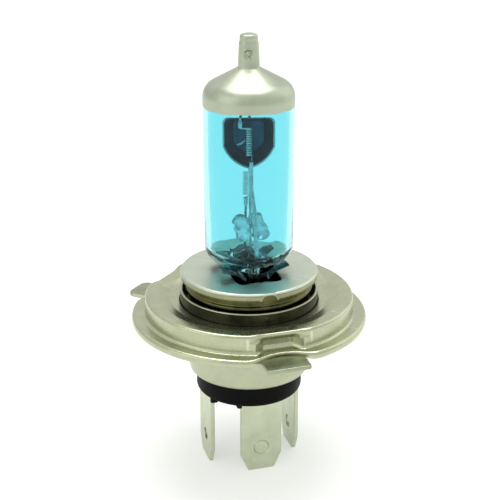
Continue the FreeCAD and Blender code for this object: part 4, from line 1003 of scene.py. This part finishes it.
def blade_shape(has_hole):
    """A blade drawn facing -Y: (x, z) outline with chamfered foot, and a hole or a round dimple."""
    half, low, top, thick = BLADE_HALF, BLADE_BOTTOM, BLADE_TOP, BLADE_HALF_SHEET
    chamfer_wide, chamfer_high = 1.4, 3.1
    outline = [(-half, low + chamfer_high), (-half + chamfer_wide, low), (half - chamfer_wide, low),
               (half, low + chamfer_high), (half, top), (-half, top)]
    centre = np.array([0.0, BLADE_HOLE_Z])
    corners = [math.atan2(z - centre[1], x - centre[0]) for x, z in outline]
    even = np.linspace(-math.pi, math.pi, 120, endpoint=False)
    even = [a for a in even if min(abs(a - c) for c in corners) > 0.02]
    angles = np.sort(np.concatenate([even, corners]))
    outer = ray_loop(outline, centre, angles)
    radius, edge = 1.2, 0.13
    rays = np.column_stack([np.cos(angles), np.sin(angles)])
    if has_hole:
        flat = plate(outer, centre + radius * rays, -thick, thick, edge, 0.12, rings=8)
        points = np.array(flat[0])
    else:
        rows_outer = plate(outer, None, -thick, thick, edge, rings=2)
        steps = np.concatenate([np.linspace(0.0, 1.22, 12), [1.28, 1.33, 1.38, 1.43, 1.48, 1.53, 1.6]])
        depth = [0.0] * 12 + [0.04, 0.11, 0.15, 0.11, 0.04, 0.0, 0.0]
        front = [np.column_stack([centre + s * rays, np.full(len(rays), thick - d)])
                 for s, d in zip(steps, depth)]
        start = centre + steps[-1] * rays
        flat_edge = offset_loop(outer, edge)
        for k in range(1, 7):
            front.append(np.column_stack([start + (flat_edge - start) * k / 6, np.full(len(rays), thick)]))
        rest = np.array(rows_outer[0]).reshape(-1, len(angles), 3)[3:]
        rows = np.concatenate([np.array(front), rest])
        flat = grid_shape(rows, False, True)
        points = flat[0]
    turned = np.column_stack([points[:, 0], -points[:, 2], points[:, 1]])
    return turned, flat[1]


def make_blades():
    for name, node, has_hole, turn, place in (
            ("front_blade", "terminal_low_beam", False, 0.0, (0.0, FRONT_BLADE_Y, 0.0)),
            ("left_blade", "terminal_ground", True, -90.0, (-SIDE_BLADE_X, 0.0, 0.0)),
            ("right_blade", "terminal_high_beam", True, 90.0, (SIDE_BLADE_X, 0.0, 0.0))):
        blade = moved(blade_shape(has_hole), turn, place)
        build(name, blade, [BLADE], [node], sharp=40)


make_glass()
make_coat()
make_shield()
make_coils()
make_inner_wires()
make_bridge()
make_disc()
make_sleeve()
make_clamp()
make_ring()
make_lugs()
make_shell()
make_insulator()
make_blades()

for node in ("foil_common", "foil_low_beam", "foil_high_beam"):
    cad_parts[node].data.materials[0] = MOLYBDENUM
for node in ("outer_lead_common", "outer_lead_low_beam", "outer_lead_high_beam", "terminal_welds"):
    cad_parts[node].data.materials[0] = NICKEL_WIRE


# ---------------------------------------------------------------- floor, light and camera

FLOOR_Z = BLADE_BOTTOM * MM
FLOOR_REACH = 4.0
floor_mesh = bpy.data.meshes.new("floor")
corners = [(x * FLOOR_REACH, y * FLOOR_REACH, FLOOR_Z) for x, y in ((-1, -1), (1, -1), (1, 1), (-1, 1))]
floor_mesh.from_pydata(corners, [], [(0, 1, 2, 3)])
floor_mesh.materials.append(floor_material())
floor_piece = bpy.data.objects.new("floor", floor_mesh)
bpy.context.scene.collection.objects.link(floor_piece)


def soft_light(name, place, aim, size, power):
    lamp = bpy.data.lights.new(name, "AREA")
    lamp.shape = "RECTANGLE"
    lamp.size, lamp.size_y = size
    lamp.energy = power
    holder = bpy.data.objects.new(name, lamp)
    holder.location = place
    direction = np.array(aim) - np.array(place)
    holder.rotation_mode = "QUATERNION"
    holder.rotation_quaternion = Vector(direction).to_track_quat("-Z", "Y")
    bpy.context.scene.collection.objects.link(holder)
    return holder


soft_light("overhead", (0.05, 0.15, 0.75), (0, 0, 0), (0.6, 0.5), 4.2)
soft_light("left", (-0.8, -0.2, 0.4), (0, 0, 0.01), (0.7, 0.7), 1.0)
soft_light("right", (0.8, 0.2, 0.4), (0, 0, 0.01), (0.7, 0.7), 1.0)

world = bpy.data.worlds.new("studio")
bpy.context.scene.world = world
world.use_nodes = True
sky = world.node_tree
background = next(n for n in sky.nodes if n.type == "BACKGROUND")
where = sky.nodes.new("ShaderNodeTexCoord")
split = sky.nodes.new("ShaderNodeSeparateXYZ")
ramp = sky.nodes.new("ShaderNodeValToRGB")
sky.links.new(where.outputs["Generated"], split.inputs["Vector"])
sky.links.new(split.outputs["Z"], ramp.inputs["Fac"])
ramp.color_ramp.elements[0].position = 0.0
ramp.color_ramp.elements[0].color = (0.86, 0.88, 0.83, 1.0)
ramp.color_ramp.elements[1].position = 0.6
ramp.color_ramp.elements[1].color = (1.0, 1.0, 1.0, 1.0)
sky.links.new(ramp.outputs["Color"], background.inputs["Color"])
background.inputs["Strength"].default_value = 0.95

camera_data = bpy.data.cameras.new("camera")
camera_data.lens = 85.75
camera_data.sensor_width = 36.0
camera_data.clip_start = 0.01
camera = bpy.data.objects.new("camera", camera_data)
camera.location = (-0.05828, -0.19132, 0.09155)
camera.rotation_euler = (math.radians(68.37), 0.0, math.radians(-17.0))
bpy.context.scene.collection.objects.link(camera)
bpy.context.scene.camera = camera
bpy.context.scene.view_settings.view_transform = "Standard"
